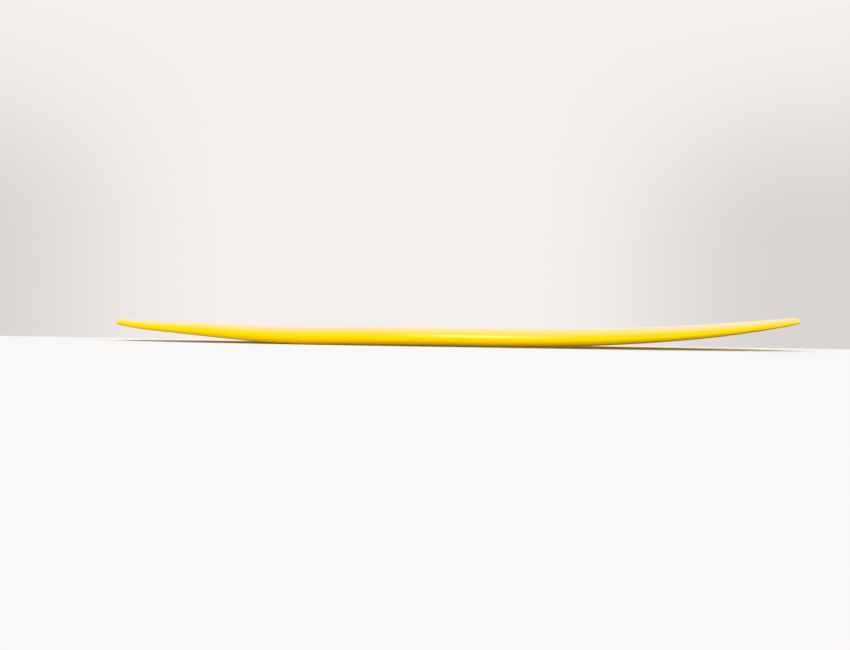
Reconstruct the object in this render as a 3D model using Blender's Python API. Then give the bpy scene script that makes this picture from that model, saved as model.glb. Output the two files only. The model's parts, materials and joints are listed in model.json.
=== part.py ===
"""A hand-made longboard: foam blank, wooden stringer, lapped laminates, fin and leash fittings.

Metres, +X towards the nose, +Z up. The board lies on its own flat bottom, and the origin is on
that bottom, under the middle of the board's box.
"""
import math

import bmesh
import bpy
import numpy as np
from mathutils import Matrix, Vector

# ---- the board as its maker would order it ------------------------------------------------
LENGTH = 2.743
WIDTH = 0.572
THICKNESS = 0.073
TAIL_THICKNESS = 0.022
NOSE_THICKNESS = 0.027

# ---- places along the board, as fractions of its length from the tail ---------------------
THICKEST_AT = 0.46
WIDEST_AT = 0.52
FLAT_FROM = 0.31
FLAT_TO = 0.51
FIN_PANEL_FROM = 0.060
FIN_PANEL_TO = 0.185

# ---- rocker -------------------------------------------------------------------------------
FIN_PANEL_RISE = 0.235  # metres of rise for each board length, towards the tail
TAIL_TIP_RISE = 0.563  # the same, at the very tail
NOSE_ROCKER = 0.108
NOSE_ROCKER_POWER = 2.25
FOIL_POWER = 2.2

# ---- outline ------------------------------------------------------------------------------
NOSE_OUTLINE_POWER = 3.1
TAIL_OUTLINE_POWER = 2.8
TAIL_BLOCK_HALF = 0.075
TAIL_CORNER = 0.045
TAIL_CORNER_POWER = 2.4

# ---- cross-section ------------------------------------------------------------------------
APEX_HEIGHT = 0.36  # the rail's widest point, as a fraction of the thickness
TAIL_APEX_HEIGHT = 0.28
FLAT_WIDTH = 0.62  # flat part of the bottom, as a fraction of the width
TAIL_FLAT_WIDTH = 0.86
TIP_FLAT_LOSS = (0.85, 0.9)  # from this far along, this much of the flat goes by the nose tip
APEX_DROP_FROM = 0.05  # the rail's widest point is lowest up to here
DECK_CURVE = (2.4, 2.1)
RAIL_CURVE = (2.0, 2.5)
SECTION_STEPS = 120
NUDGE = 1e-4  # step along the board for its slope
NUDGE_AT_TIPS = 0.02
NOTHING = 1e-9

# ---- construction -------------------------------------------------------------------------
GAP = 0.0003
CLOTH = 0.0007
LAYER = CLOTH + GAP
LAP = 0.050
LAP_MOST = 0.55  # a lap takes up no more than this share of the way to the centreline
LAP_STEP = 0.015  # width over which the bottom laminate dips under the deck's lap
LAP_STEP_MOST = 0.2
LAP_STEP_ROOM = 0.06  # flat left between that dip and the lap's edge, as a share of the lap
CLOTH_INSIDE_LAP = 1.03  # the inner cloth stops just inside the bottom's lap
TIP_WRAP = (0.020, 0.060)  # the laps meet over the tips, this far in
STRINGER = 0.0032
FOAM_TIP_DEPTH = 0.0035

# ---- fittings -----------------------------------------------------------------------------
FLUSH = 0.0002  # how far a fitting's face lies under the board's surface
OVERCUT = 0.010  # how far cutters stand out of the surface that they cut
ROUND_SIDES = 16  # sides of a small round piece
CUP_SIDES = 32
BORE_SIDES = 28
FIN_BOX = (0.267, 0.0254, 0.027)
FIN_BOX_FROM_TAIL = 0.185
SLOT = (0.251, 0.0098, 0.021)
CHANNEL_WIDTH = 0.0158
CHANNEL_DEPTHS = (0.0085, 0.0125)
CHANNEL_SHORTER = 0.0006  # the channel stops inside the slot's ends
CHANNEL_ENTRY = 0.012
ENTRY_WIDER = 0.0004
ENTRY_SHALLOWER = 0.0005
PLATE = (0.009, 0.015, 0.0032)
PLATE_REST = 0.060
FIN_SCREW_RADIUS = 0.0019
FIN_SCREW_LENGTH = 0.014
SCREW_HEAD = (0.0037, 0.0026)
SCREW_HEAD_DEPTH = 0.0022
HEAD_SHOULDER = (0.6, 0.72)  # height where the head's crown starts, and width of its top
CROSS_RECESS = (0.0042, 0.0009, 0.0013)
PATCH = (0.330, 0.130)
SIDE_PLUG = (0.030, 0.023, 0.0155)
SIDE_SLOT = (0.0205, 0.0060, 0.013)
SIDE_SLOT_OFFSET = -0.0045
SIDE_PLUG_SPACING = 0.060
SIDE_FIN_FROM_TAIL = 0.335
SIDE_FIN_OFF_CENTRE = 0.140
TOE_IN = math.radians(2.5)
GRUB_RADIUS = 0.0024
GRUB_LENGTH = 0.0070
GRUB_DEPTH = 0.0012
GRUB_CHAMFER = 0.0005
GRUB_HOLE = 0.0125
GRUB_OFFSET = 0.0058
GRUB_TILT = math.radians(22)
HEX_RADIUS = 0.00145
HEX_DEPTH = 0.0030
LEASH_CUP = (0.019, 0.017)
LEASH_BORE = (0.0135, 0.013)
LEASH_FROM_TAIL = 0.100
DECK_SLOPE_STEP = 0.005
LEASH_PIN_RADIUS = 0.0024
LEASH_PIN_DEPTH = 0.0055
LEASH_PIN_LENGTH = 0.033

TAIL, NOSE = -LENGTH / 2, LENGTH / 2
MATERIALS = {
    "foam": ((0.90, 0.86, 0.72), 0.8, 0.0),
    "stringer_wood": ((0.55, 0.36, 0.19), 0.6, 0.0),
    "yellow_laminate": ((0.95, 0.62, 0.02), 0.12, 0.0),
    "glass_cloth": ((0.88, 0.80, 0.52), 0.45, 0.0),
    "fitting_plastic": ((0.85, 0.85, 0.83), 0.35, 0.0),
    "stainless": ((0.62, 0.62, 0.60), 0.25, 1.0),
}


# ---- the board's shape --------------------------------------------------------------------
def along(x):
    """Fraction of the length from the tail."""
    return (x - TAIL) / LENGTH


def bottom_height(x):
    """Height of the bottom's centreline: flat middle, straight fin panel, lifted ends."""
    s = along(x)
    if s >= FLAT_TO:
        return NOSE_ROCKER * ((s - FLAT_TO) / (1 - FLAT_TO)) ** NOSE_ROCKER_POWER
    if s >= FLAT_FROM:
        return 0.0
    bend = FLAT_FROM - FIN_PANEL_TO
    if s >= FIN_PANEL_TO:
        return 0.5 * FIN_PANEL_RISE * (FLAT_FROM - s) ** 2 / bend
    panel_start = 0.5 * FIN_PANEL_RISE * bend
    if s >= FIN_PANEL_FROM:
        return panel_start + FIN_PANEL_RISE * (FIN_PANEL_TO - s)
    kick = (FIN_PANEL_FROM - s) / FIN_PANEL_FROM
    panel_end = panel_start + FIN_PANEL_RISE * (FIN_PANEL_TO - FIN_PANEL_FROM)
    extra = 0.5 * (TAIL_TIP_RISE - FIN_PANEL_RISE) * kick * (FIN_PANEL_FROM - s)
    return panel_end + FIN_PANEL_RISE * (FIN_PANEL_FROM - s) + extra


def foil(x):
    """Thickness on the centreline, before the ends are rounded off."""
    s = along(x)
    if s < THICKEST_AT:
        end, away = TAIL_THICKNESS, 1 - s / THICKEST_AT
    else:
        end, away = NOSE_THICKNESS, (s - THICKEST_AT) / (1 - THICKEST_AT)
    return end + (THICKNESS - end) * (1 - away**FOIL_POWER)


def end_rounding(x):
    """How much of the foil is left where the two ends round off like a rail, 0 to 1."""
    from_tail, from_nose = x - TAIL, NOSE - x
    reach, away = min((TAIL_THICKNESS / 2, from_tail), (NOSE_THICKNESS / 2, from_nose), key=lambda e: e[1])
    inward = min(max(away / reach, 0.0), 1.0)
    return math.sqrt(1 - (1 - inward) ** 2)


def half_width(x):
    """Half the outline's width: round nose, rounded square tail."""
    s = along(x)
    if s >= WIDEST_AT:
        u = min((s - WIDEST_AT) / (1 - WIDEST_AT), 1.0)
        return WIDTH / 2 * math.sqrt(1 - u**NOSE_OUTLINE_POWER)
    u = (WIDEST_AT - s) / WIDEST_AT
    taper = 1 - TAIL_BLOCK_HALF / (WIDTH / 2)
    plain = WIDTH / 2 * (1 - taper * u**TAIL_OUTLINE_POWER)
    corner = max(1 - (x - TAIL) / TAIL_CORNER, 0.0)
    return plain * (1 - min(corner, 1.0) ** TAIL_CORNER_POWER) ** (1 / TAIL_CORNER_POWER)


def blend(value, start, end):
    """Smooth step from 0 at start to 1 at end."""
    t = min(max((value - start) / (end - start), 0.0), 1.0)
    return t * t * (3 - 2 * t)


def apex_fraction(x):
    """The rail's widest point drops towards the tail, where the edge is harder."""
    return TAIL_APEX_HEIGHT + (APEX_HEIGHT - TAIL_APEX_HEIGHT) * blend(along(x), APEX_DROP_FROM, FLAT_FROM)


def flat_fraction(x):
    """Flat share of the bottom: wide at the tail, none at the round tip of the nose."""
    tail_to_middle = blend(along(x), FIN_PANEL_TO, FLAT_TO)
    flat = TAIL_FLAT_WIDTH + (FLAT_WIDTH - TAIL_FLAT_WIDTH) * tail_to_middle
    start, loss = TIP_FLAT_LOSS
    return flat * (1 - loss * blend(along(x), start, 1.0))


def section(x):
    """Half a cross-section at x, from the bottom's centre round the rail to the deck's centre.

    Returns the points' y and z, and the index of the rail's widest point.
    """
    width, depth = half_width(x), foil(x)
    rounding, apex_share = end_rounding(x), apex_fraction(x)
    apex = bottom_height(x) + apex_share * depth
    below, above = apex_share * depth * rounding, (1 - apex_share) * depth * rounding
    flat = flat_fraction(x) * width
    turn = np.linspace(0, math.pi / 2, SECTION_STEPS)
    across, up = RAIL_CURVE
    y_low = flat + (width - flat) * np.sin(turn) ** (2 / across)
    z_low = apex - below * np.cos(turn) ** (2 / up)
    across, up = DECK_CURVE
    back = turn[::-1][1:]
    y_high = width * np.sin(back) ** (2 / across)
    z_high = apex + above * np.cos(back) ** (2 / up)
    floor = np.linspace(0, flat, SECTION_STEPS, endpoint=False)
    y = np.concatenate([floor, y_low, y_high])
    z = np.concatenate([np.full(SECTION_STEPS, apex - below), z_low, z_high])
    return y, z, 2 * SECTION_STEPS - 1


# ---- the shared grid that every layer of the board is laid on -----------------------------
# Places of the columns, as shares of each stretch of the way round, closer at the rail.
OPEN_SHARES = (0.0, 0.36, 0.70, 1.0)
LOW_LAP_SHARES = (0.58, 0.28, 0.10)
HIGH_LAP_SHARES = (0.0, 0.10, 0.26, 0.54, 1.0)
DECK_SHARES = (0.0, 0.34, 0.68, 1.0)

# Places of the rows: angles round each tip's rounding, metres from each tip, and fractions.
TIP_ANGLES = (20, 40, 62, 90)
TAIL_STATIONS = (0.020, 0.034, 0.058, 0.100)
NOSE_STATIONS = (0.024, 0.045, 0.080, 0.130)
REAR_STATIONS = (FIN_PANEL_FROM, 0.12, FIN_PANEL_TO, 0.225, 0.265, FLAT_FROM, 0.36, 0.41, 0.46)
FRONT_STATIONS = (FLAT_TO, 0.57, 0.63, 0.69, 0.75, 0.80, 0.84, 0.875, 0.905, 0.93)


def columns(bottom_girth, deck_girth):
    """Girth positions of the grid's columns, with the lap edges where the cloth is cut."""
    low_lap, high_lap = min(LAP, LAP_MOST * bottom_girth), min(LAP, LAP_MOST * deck_girth)
    deck_edge = bottom_girth - low_lap
    step_end = deck_edge - LAP_STEP_ROOM * low_lap
    step_start = step_end - min(LAP_STEP, LAP_STEP_MOST * bottom_girth)
    low = [share * step_start for share in OPEN_SHARES] + [step_end, deck_edge]
    low += [bottom_girth - share * low_lap for share in LOW_LAP_SHARES]
    high = [bottom_girth + share * high_lap for share in HIGH_LAP_SHARES]
    cloth_edge = bottom_girth + high_lap * CLOTH_INSIDE_LAP
    rest = bottom_girth + deck_girth - cloth_edge
    high += [cloth_edge + share * rest for share in DECK_SHARES]
    return np.array(low + high)


# Columns of the grid: last one before the bottom's step, then the edge of each layer.
STEP_START, DECK_EDGE, BOTTOM_EDGE, CLOTH_EDGE, LAST = 3, 5, 13, 14, 17


def grid_row(x):
    """One row of the grid: points and outward normals of half a section at x."""
    points, girth = row_points(x)
    nudge = min(NUDGE, NUDGE_AT_TIPS * min(x - TAIL, NOSE - x))
    along_x = (row_points(x + nudge)[0] - row_points(x - nudge)[0]) / (2 * nudge)
    y, z, _ = section(x)
    length = np.concatenate([[0], np.cumsum(np.hypot(np.diff(y), np.diff(z)))])
    keep = np.concatenate([[True], np.diff(length) > NOTHING])
    slope_y = np.interp(girth, length[keep], np.gradient(y[keep], length[keep]))
    slope_z = np.interp(girth, length[keep], np.gradient(z[keep], length[keep]))
    around = np.stack([np.zeros_like(slope_y), slope_y, slope_z], axis=1)
    normals = np.cross(around, along_x)
    normals /= np.linalg.norm(normals, axis=1)[:, None]
    for end in (0, LAST):
        normals[end, 1] = 0
        normals[end] /= np.linalg.norm(normals[end])
    return points, normals


def row_points(x):
    """Points of half a section at x, at the grid's columns, and their girth positions."""
    y, z, apex = section(x)
    length = np.concatenate([[0], np.cumsum(np.hypot(np.diff(y), np.diff(z)))])
    girth = columns(length[apex], length[-1] - length[apex])
    points = np.stack([np.full(len(girth), x), np.interp(girth, length, y), np.interp(girth, length, z)], 1)
    return points, girth


def stations():
    """Positions of the grid's rows: close together at the rounded ends, even between."""
    turns = [math.radians(a) for a in TIP_ANGLES]
    tail = [TAIL + TAIL_THICKNESS / 2 * (1 - math.cos(a)) for a in turns]
    nose = [NOSE - NOSE_THICKNESS / 2 * (1 - math.cos(a)) for a in turns]
    tail += [TAIL + away for away in TAIL_STATIONS]
    nose += [NOSE - away for away in NOSE_STATIONS]
    return sorted(tail + [TAIL + s * LENGTH for s in REAR_STATIONS + FRONT_STATIONS] + nose)


def pole(nose):
    """The tip where a layer closes, and its outward normal."""
    x = NOSE if nose else TAIL
    height = bottom_height(x) + apex_fraction(x) * foil(x)
    return np.array([x, 0.0, height]), np.array([1.0 if nose else -1.0, 0.0, 0.0])


STATIONS = stations()
ROWS = [grid_row(x) for x in STATIONS]
POINTS = np.array([row[0] for row in ROWS])
NORMALS = np.array([row[1] for row in ROWS])
TIPS = [pole(False), pole(True)]


def sunk(depths):
    """The grid moved inward, by one depth for all of it or one for each point."""
    return POINTS - NORMALS * np.broadcast_to(depths, POINTS.shape[:2])[..., None]


def tips_at(depth):
    """Both tips moved inward."""
    return [point - normal * depth for point, normal in TIPS]


def lap_depths(deep, shallow):
    """Depths: shallow on the open bottom, deep under the laps, on the deck and at both tips."""
    depths = np.full(POINTS.shape[:2], deep)
    for row, x in enumerate(STATIONS):
        away = blend(min(x - TAIL, NOSE - x), *TIP_WRAP)
        depths[row, : STEP_START + 1] = deep + (shallow - deep) * away
    return depths


def both_sides(half):
    """Mirror half a grid, so that its columns run from one side to the other."""
    other = half[:, ::-1, :].copy()
    other[:, :, 1] *= -1
    if abs(half[0, -1, 1]) < NOTHING:
        return np.concatenate([half, other[:, 1:, :]], axis=1)
    return np.concatenate([other, half[:, 1:, :]], axis=1)


# ---- turning points into solids -----------------------------------------------------------
def material(name):
    """The named material, made once."""
    if name in bpy.data.materials:
        return bpy.data.materials[name]
    colour, roughness, metallic = MATERIALS[name]
    made = bpy.data.materials.new(name)
    made.use_nodes = True
    shader = made.node_tree.nodes["Principled BSDF"]
    shader.inputs["Base Color"].default_value = (*colour, 1)
    shader.inputs["Roughness"].default_value = roughness
    shader.inputs["Metallic"].default_value = metallic
    return made


def finish(name, bm, material_name):
    """Turn a bmesh into a named, outward facing, smoothly shaded object."""
    bmesh.ops.recalc_face_normals(bm, faces=bm.faces)
    if bm.calc_volume(signed=True) < 0:
        bmesh.ops.reverse_faces(bm, faces=bm.faces)
    mesh = bpy.data.meshes.new(name)
    bm.to_mesh(mesh)
    bm.free()
    mesh.shade_smooth()
    mesh.set_sharp_from_angle(angle=math.radians(35))
    obj = bpy.data.objects.new(name, mesh)
    bpy.context.collection.objects.link(obj)
    if material_name:
        mesh.materials.append(material(material_name))
    else:
        obj.hide_render = True
        obj.display_type = "WIRE"
    return obj


def ladder(bm, first, second):
    """Triangles between two equally long lists of vertices, their diagonals alike on both sides.

    Layers that lie on each other share their diagonals this way, and keep an even gap.
    """
    for a, b, c, d in zip(first, first[1:], second[1:], second):
        if a.co.y + b.co.y < 0:
            halves = ((a, b, d), (b, c, d))
        else:
            halves = ((a, b, c), (a, c, d))
        for corners in halves:
            bm.faces.new(corners)


def fan(bm, tip, row):
    """Faces from a tip to a row of vertices."""
    for i in range(len(row) - 1):
        bm.faces.new((tip, row[i + 1], row[i]))


def vertex_rows(bm, grid):
    """Vertices for a grid of points."""
    return [[bm.verts.new(point) for point in row] for row in grid]


def skin(name, outer, inner, material_name, outer_tips=None, inner_tips=None):
    """A sheet with thickness, between an outer and an inner grid, closed at tips or cut square."""
    bm = bmesh.new()
    out, inn = vertex_rows(bm, outer), vertex_rows(bm, inner)
    for rows in (out, inn):
        for near, far in zip(rows, rows[1:]):
            ladder(bm, near, far)
    for side in (0, -1):
        ladder(bm, [row[side] for row in out], [row[side] for row in inn])
    for end in (0, -1):
        if outer_tips is None:
            ladder(bm, out[end], inn[end])
            continue
        out_tip, inn_tip = bm.verts.new(outer_tips[end]), bm.verts.new(inner_tips[end])
        fan(bm, out_tip, out[end])
        fan(bm, inn_tip, inn[end])
        for side in (0, -1):
            bm.faces.new((out_tip, inn_tip, inn[end][side], out[end][side]))
    return finish(name, bm, material_name)


def hull(name, rings, material_name, tips=None):
    """A closed solid through a row of rings, ending in tips or in flat faces."""
    bm = bmesh.new()
    rows = vertex_rows(bm, rings)
    for near, far in zip(rows, rows[1:]):
        ladder(bm, near + near[:1], far + far[:1])
    for end in (0, -1):
        if tips is None:
            bm.faces.new(rows[end])
        else:
            fan(bm, bm.verts.new(tips[end]), rows[end] + rows[end][:1])
    return finish(name, bm, material_name)


def prism(name, outline, low, high, material_name=None):
    """A solid of one outline between two heights, in its own upright frame."""
    rings = [[(x, y, z) for x, y in outline] for z in (low, high)]
    return hull(name, rings, material_name)


def rectangle(length, width, x=0.0, y=0.0):
    """Corners of a rectangle about (x, y)."""
    a, b = length / 2, width / 2
    return [(x - a, y - b), (x + a, y - b), (x + a, y + b), (x - a, y + b)]


def circle(radius, count):
    """Points round a circle."""
    turns = [2 * math.pi * i / count for i in range(count)]
    return [(radius * math.cos(a), radius * math.sin(a)) for a in turns]


def stadium(length, width, count=8):
    """A rectangle with two round ends."""
    radius, reach = width / 2, (length - width) / 2
    points = []
    for centre, start in ((reach, -math.pi / 2), (-reach, math.pi / 2)):
        for i in range(count + 1):
            turn = start + math.pi * i / count
            points.append((centre + radius * math.cos(turn), radius * math.sin(turn)))
    return points


def oval(length, width, count=40):
    """An ellipse."""
    turns = [2 * math.pi * i / count for i in range(count)]
    return [(length / 2 * math.cos(a), width / 2 * math.sin(a)) for a in turns]


def cut(obj, *cutters):
    """Take the cutters away from obj."""
    for cutter in cutters:
        modifier = obj.modifiers.new(cutter.name, "BOOLEAN")
        modifier.object = cutter
        modifier.operation = "DIFFERENCE"


def place(obj, frame, offset=Matrix.Identity(4)):
    """Set an object's place from a fitting's frame and an offset in that frame."""
    obj.matrix_world = frame @ offset
    return obj


# ---- places of the fittings: +X forward along the surface, +Z out of the board ------------
def surface_frame(x, y, height, slope, toe=0.0):
    """Frame of a fitting in the bottom: its Z axis points out of the board, downwards."""
    out = Vector((-math.sin(slope), 0, -math.cos(slope)))
    forward = Vector((math.cos(slope), 0, -math.sin(slope)))
    forward.rotate(Matrix.Rotation(toe, 3, out))
    side = out.cross(forward)
    rotation = Matrix((forward, side, out)).transposed().to_4x4()
    return Matrix.Translation((x, y, height)) @ rotation


def bottom_frame(from_tail, y=0.0, toe=0.0):
    """Frame on the straight fin panel."""
    x = TAIL + from_tail
    slope = math.atan(FIN_PANEL_RISE / LENGTH)
    return surface_frame(x, y, bottom_height(x), slope, toe)


def deck_frame(from_tail):
    """Frame on the deck's centreline: its Z axis points up, out of the board."""
    x = TAIL + from_tail
    behind, ahead = (bottom_height(x + d) + foil(x + d) for d in (-DECK_SLOPE_STEP, DECK_SLOPE_STEP))
    slope = math.atan((behind - ahead) / (2 * DECK_SLOPE_STEP))
    turn = Matrix.Rotation(slope, 4, "Y")
    return Matrix.Translation((x, 0, bottom_height(x) + foil(x))) @ turn


BOX_FRAME = bottom_frame(FIN_BOX_FROM_TAIL + FIN_BOX[0] / 2)
LEASH_FRAME = deck_frame(LEASH_FROM_TAIL)
SIDES = {"left": 1, "right": -1}
ENDS = {"front": 1, "rear": -1}


def side_plug_frames():
    """Name and frame of each side fin plug."""
    frames = {}
    for side, way in SIDES.items():
        fin = bottom_frame(SIDE_FIN_FROM_TAIL, way * SIDE_FIN_OFF_CENTRE, way * TOE_IN)
        for end, ahead in ENDS.items():
            step = Matrix.Translation((ahead * SIDE_PLUG_SPACING / 2, 0, 0))
            frames[f"{side}_{end}"] = fin @ step
    return frames


# ---- the blank ----------------------------------------------------------------------------
FOAM_DEPTHS = lap_depths(2 * LAYER, LAYER)
FOAM_ROWS = slice(2, -2)
INNER_CLOTH_ROWS = slice(5, -5)


def make_foam(name, way):
    """One half of the shaped blank, flat where it meets the stringer."""
    rings = sunk(FOAM_DEPTHS)[FOAM_ROWS]
    wall = STRINGER / 2 + GAP
    rings[:, :, 1] = np.maximum(rings[:, :, 1], wall) * way
    rings = rings[:, ::way]
    tips = [np.array([tip[0], wall * way, tip[2]]) for tip in tips_at(FOAM_TIP_DEPTH)]
    return hull(name, rings, "foam", tips)


def make_stringer():
    """The thin wooden board that runs from tip to tip between the foam halves."""
    grid = sunk(FOAM_DEPTHS)[FOAM_ROWS]
    half = STRINGER / 2
    rings = []
    for row in grid:
        low, high = row[0], row[LAST]
        rings.append([(low[0], -half, low[2]), (low[0], half, low[2]),
                      (high[0], half, high[2]), (high[0], -half, high[2])])
    return hull("stringer", rings, "stringer_wood")


# ---- the laminates ------------------------------------------------------------------------
def make_bottom_laminate():
    """Covers the bottom and wraps the rails, under the deck laminate's lap."""
    outer = lap_depths(LAYER, 0.0)
    out = both_sides(sunk(outer)[:, : BOTTOM_EDGE + 1])
    inn = both_sides(sunk(outer + CLOTH)[:, : BOTTOM_EDGE + 1])
    return skin("bottom_laminate", out, inn, "yellow_laminate", tips_at(LAYER), tips_at(LAYER + CLOTH))


def make_deck_laminate():
    """Covers the deck and wraps the rails, outermost."""
    out = both_sides(sunk(0.0)[:, DECK_EDGE:])
    inn = both_sides(sunk(CLOTH)[:, DECK_EDGE:])
    return skin("deck_laminate", out, inn, "yellow_laminate", tips_at(0.0), tips_at(CLOTH))


def make_deck_inner_cloth():
    """The deck's second layer of cloth, between the edges of the bottom laminate's laps."""
    out = both_sides(sunk(LAYER)[INNER_CLOTH_ROWS, CLOTH_EDGE:])
    inn = both_sides(sunk(LAYER + CLOTH)[INNER_CLOTH_ROWS, CLOTH_EDGE:])
    return skin("deck_inner_cloth", out, inn, "glass_cloth")


def make_patch():
    """Flat oval of cloth under the bottom laminate, round the fin box."""
    patch = prism("fin_box_patch", oval(*PATCH), -LAYER - CLOTH, -LAYER, "glass_cloth")
    return place(patch, BOX_FRAME)


# ---- the centre fin box -------------------------------------------------------------------
def make_fin_box():
    """Slotted cassette with an undercut channel along both sides of its slot."""
    length, width, depth = FIN_BOX
    box = prism("fin_box", stadium(length, width), -depth, -FLUSH, "fitting_plastic")
    slot = prism("fin_slot_cutter", rectangle(SLOT[0], SLOT[1]), -SLOT[2], OVERCUT)
    top, bottom = CHANNEL_DEPTHS
    groove = rectangle(SLOT[0] - CHANNEL_SHORTER, CHANNEL_WIDTH)
    channel = prism("fin_channel_cutter", groove, -bottom, -top)
    way_in = rectangle(CHANNEL_ENTRY, CHANNEL_WIDTH + ENTRY_WIDER)
    entry = prism("fin_entry_cutter", way_in, -bottom + ENTRY_SHALLOWER, OVERCUT)
    cut(box, *(place(cutter, BOX_FRAME) for cutter in (slot, channel, entry)))
    return place(box, BOX_FRAME)


def plate_frame():
    """Frame at the middle of the plate nut, in the box's channel."""
    middle = -sum(CHANNEL_DEPTHS) / 2
    return BOX_FRAME @ Matrix.Translation((PLATE_REST, 0, middle))


def make_plate_nut():
    """Small steel plate that slides in the channel."""
    plate = prism("fin_plate_nut", rectangle(PLATE[0], PLATE[1]), -PLATE[2] / 2, PLATE[2] / 2, "stainless")
    bore = circle(FIN_SCREW_RADIUS + GAP, ROUND_SIDES)
    hole = prism("plate_hole_cutter", bore, -OVERCUT, OVERCUT)
    cut(plate, place(hole, plate_frame()))
    return place(plate, plate_frame())


def make_fin_screw():
    """Pan head screw with a cross recess, standing in the plate nut."""
    radius, height = SCREW_HEAD
    face = -SCREW_HEAD_DEPTH
    under = face - height
    shoulder, crown = HEAD_SHOULDER
    profile = [(FIN_SCREW_RADIUS, under - FIN_SCREW_LENGTH), (FIN_SCREW_RADIUS, under),
               (radius, under), (radius, under + shoulder * height), (crown * radius, face)]
    rings = [[(x, y, z) for x, y in circle(r, ROUND_SIDES)] for r, z in profile]
    screw = hull("fin_screw", rings, "stainless")
    frame = BOX_FRAME @ Matrix.Translation((PLATE_REST, 0, 0))
    long, wide, deep = CROSS_RECESS
    for number, size in enumerate(((long, wide), (wide, long))):
        recess = prism(f"screw_recess_cutter_{number}", rectangle(*size), face - deep, OVERCUT)
        cut(screw, place(recess, frame))
    return place(screw, frame)


# ---- the side fin plugs -------------------------------------------------------------------
def grub_frame(frame, way):
    """Frame of a grub screw: its Z axis points out along the screw's slanted hole."""
    lean = Matrix.Rotation(way * GRUB_TILT, 4, "X")
    return frame @ Matrix.Translation((0, -way * GRUB_OFFSET, 0)) @ lean


def make_side_plug(name, frame, way):
    """Plug with a slot for one fin tab and a slanted hole for its grub screw."""
    length, width, depth = SIDE_PLUG
    plug = prism(f"side_plug_{name}", stadium(length, width), -depth, -FLUSH, "fitting_plastic")
    slot_y = -way * SIDE_SLOT_OFFSET
    opening = rectangle(SIDE_SLOT[0], SIDE_SLOT[1], 0, slot_y)
    slot = prism(f"tab_slot_cutter_{name}", opening, -SIDE_SLOT[2], OVERCUT)
    bore = circle(GRUB_RADIUS + GAP, ROUND_SIDES)
    hole = prism(f"grub_hole_cutter_{name}", bore, -GRUB_HOLE, OVERCUT)
    cut(plug, place(slot, frame), place(hole, grub_frame(frame, way)))
    return place(plug, frame)


def make_grub_screw(name, frame, way):
    """Headless screw with a hexagon socket."""
    top, bottom = -GRUB_DEPTH, -GRUB_DEPTH - GRUB_LENGTH
    narrow = GRUB_RADIUS - GRUB_CHAMFER
    profile = [(narrow, bottom), (GRUB_RADIUS, bottom + GRUB_CHAMFER),
               (GRUB_RADIUS, top - GRUB_CHAMFER), (narrow, top)]
    rings = [[(x, y, z) for x, y in circle(r, ROUND_SIDES)] for r, z in profile]
    screw = hull(f"grub_screw_{name}", rings, "stainless")
    socket = prism(f"hex_socket_cutter_{name}", circle(HEX_RADIUS, 6), top - HEX_DEPTH, OVERCUT)
    cut(screw, place(socket, grub_frame(frame, way)))
    return place(screw, grub_frame(frame, way))


# ---- the leash plug -----------------------------------------------------------------------
def make_leash_cup():
    """Round cup let into the deck."""
    radius, depth = LEASH_CUP
    cup = prism("leash_cup", circle(radius, CUP_SIDES), -depth, -FLUSH, "fitting_plastic")
    bore_radius, bore_depth = LEASH_BORE
    bore = prism("leash_bore_cutter", circle(bore_radius, BORE_SIDES), -bore_depth, OVERCUT)
    reach = LEASH_PIN_LENGTH / 2 + GAP
    seat = prism("leash_pin_seat_cutter", circle(LEASH_PIN_RADIUS + GAP, ROUND_SIDES), -reach, reach)
    cut(cup, place(bore, LEASH_FRAME), place(seat, LEASH_FRAME, pin_offset()))
    return place(cup, LEASH_FRAME)


def pin_offset():
    """The pin lies across the cup."""
    return Matrix.Translation((0, 0, -LEASH_PIN_DEPTH)) @ Matrix.Rotation(math.pi / 2, 4, "X")


def make_leash_pin():
    """Steel bar across the cup, which the leash string loops round."""
    reach = LEASH_PIN_LENGTH / 2
    pin = prism("leash_pin", circle(LEASH_PIN_RADIUS, ROUND_SIDES), -reach, reach, "stainless")
    return place(pin, LEASH_FRAME, pin_offset())


# ---- pockets ------------------------------------------------------------------------------
def pocket_cutters():
    """Solids a little larger than each fitting, which make room for it."""
    length, width, depth = FIN_BOX
    room = 2 * GAP
    box = prism("fin_box_pocket", stadium(length + room, width + room), -depth - GAP, OVERCUT)
    patch = prism("patch_pocket", oval(PATCH[0] + room, PATCH[1] + room), -2 * LAYER, OVERCUT)
    cutters = {"box": place(box, BOX_FRAME), "patch": place(patch, BOX_FRAME)}
    length, width, depth = SIDE_PLUG
    for name, frame in side_plug_frames().items():
        plug = prism(f"plug_pocket_{name}", stadium(length + room, width + room), -depth - GAP, OVERCUT)
        cutters[name] = place(plug, frame)
    radius, depth = LEASH_CUP
    cup = prism("leash_pocket", circle(radius + GAP, CUP_SIDES), -depth - GAP, OVERCUT)
    cutters["leash"] = place(cup, LEASH_FRAME)
    return cutters


def main():
    """Build the whole board."""
    for obj in list(bpy.data.objects):
        bpy.data.objects.remove(obj, do_unlink=True)
    pockets = pocket_cutters()
    plugs = [pockets[name] for name in side_plug_frames()]
    for side, way in SIDES.items():
        own_plugs = [pockets[f"{side}_{end}"] for end in ENDS]
        foam = make_foam(f"foam_{side}", way)
        cut(foam, pockets["patch"], pockets["box"], *own_plugs, pockets["leash"])
    cut(make_stringer(), pockets["patch"], pockets["box"], pockets["leash"])
    cut(make_bottom_laminate(), pockets["box"], *plugs)
    cut(make_deck_inner_cloth(), pockets["leash"])
    cut(make_deck_laminate(), pockets["leash"], *plugs)
    cut(make_patch(), pockets["box"])
    make_fin_box()
    make_plate_nut()
    make_fin_screw()
    for name, frame in side_plug_frames().items():
        way = SIDES[name.split("_")[0]]
        make_side_plug(name, frame, way)
        make_grub_screw(name, frame, way)
    make_leash_cup()
    make_leash_pin()


main()
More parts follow.
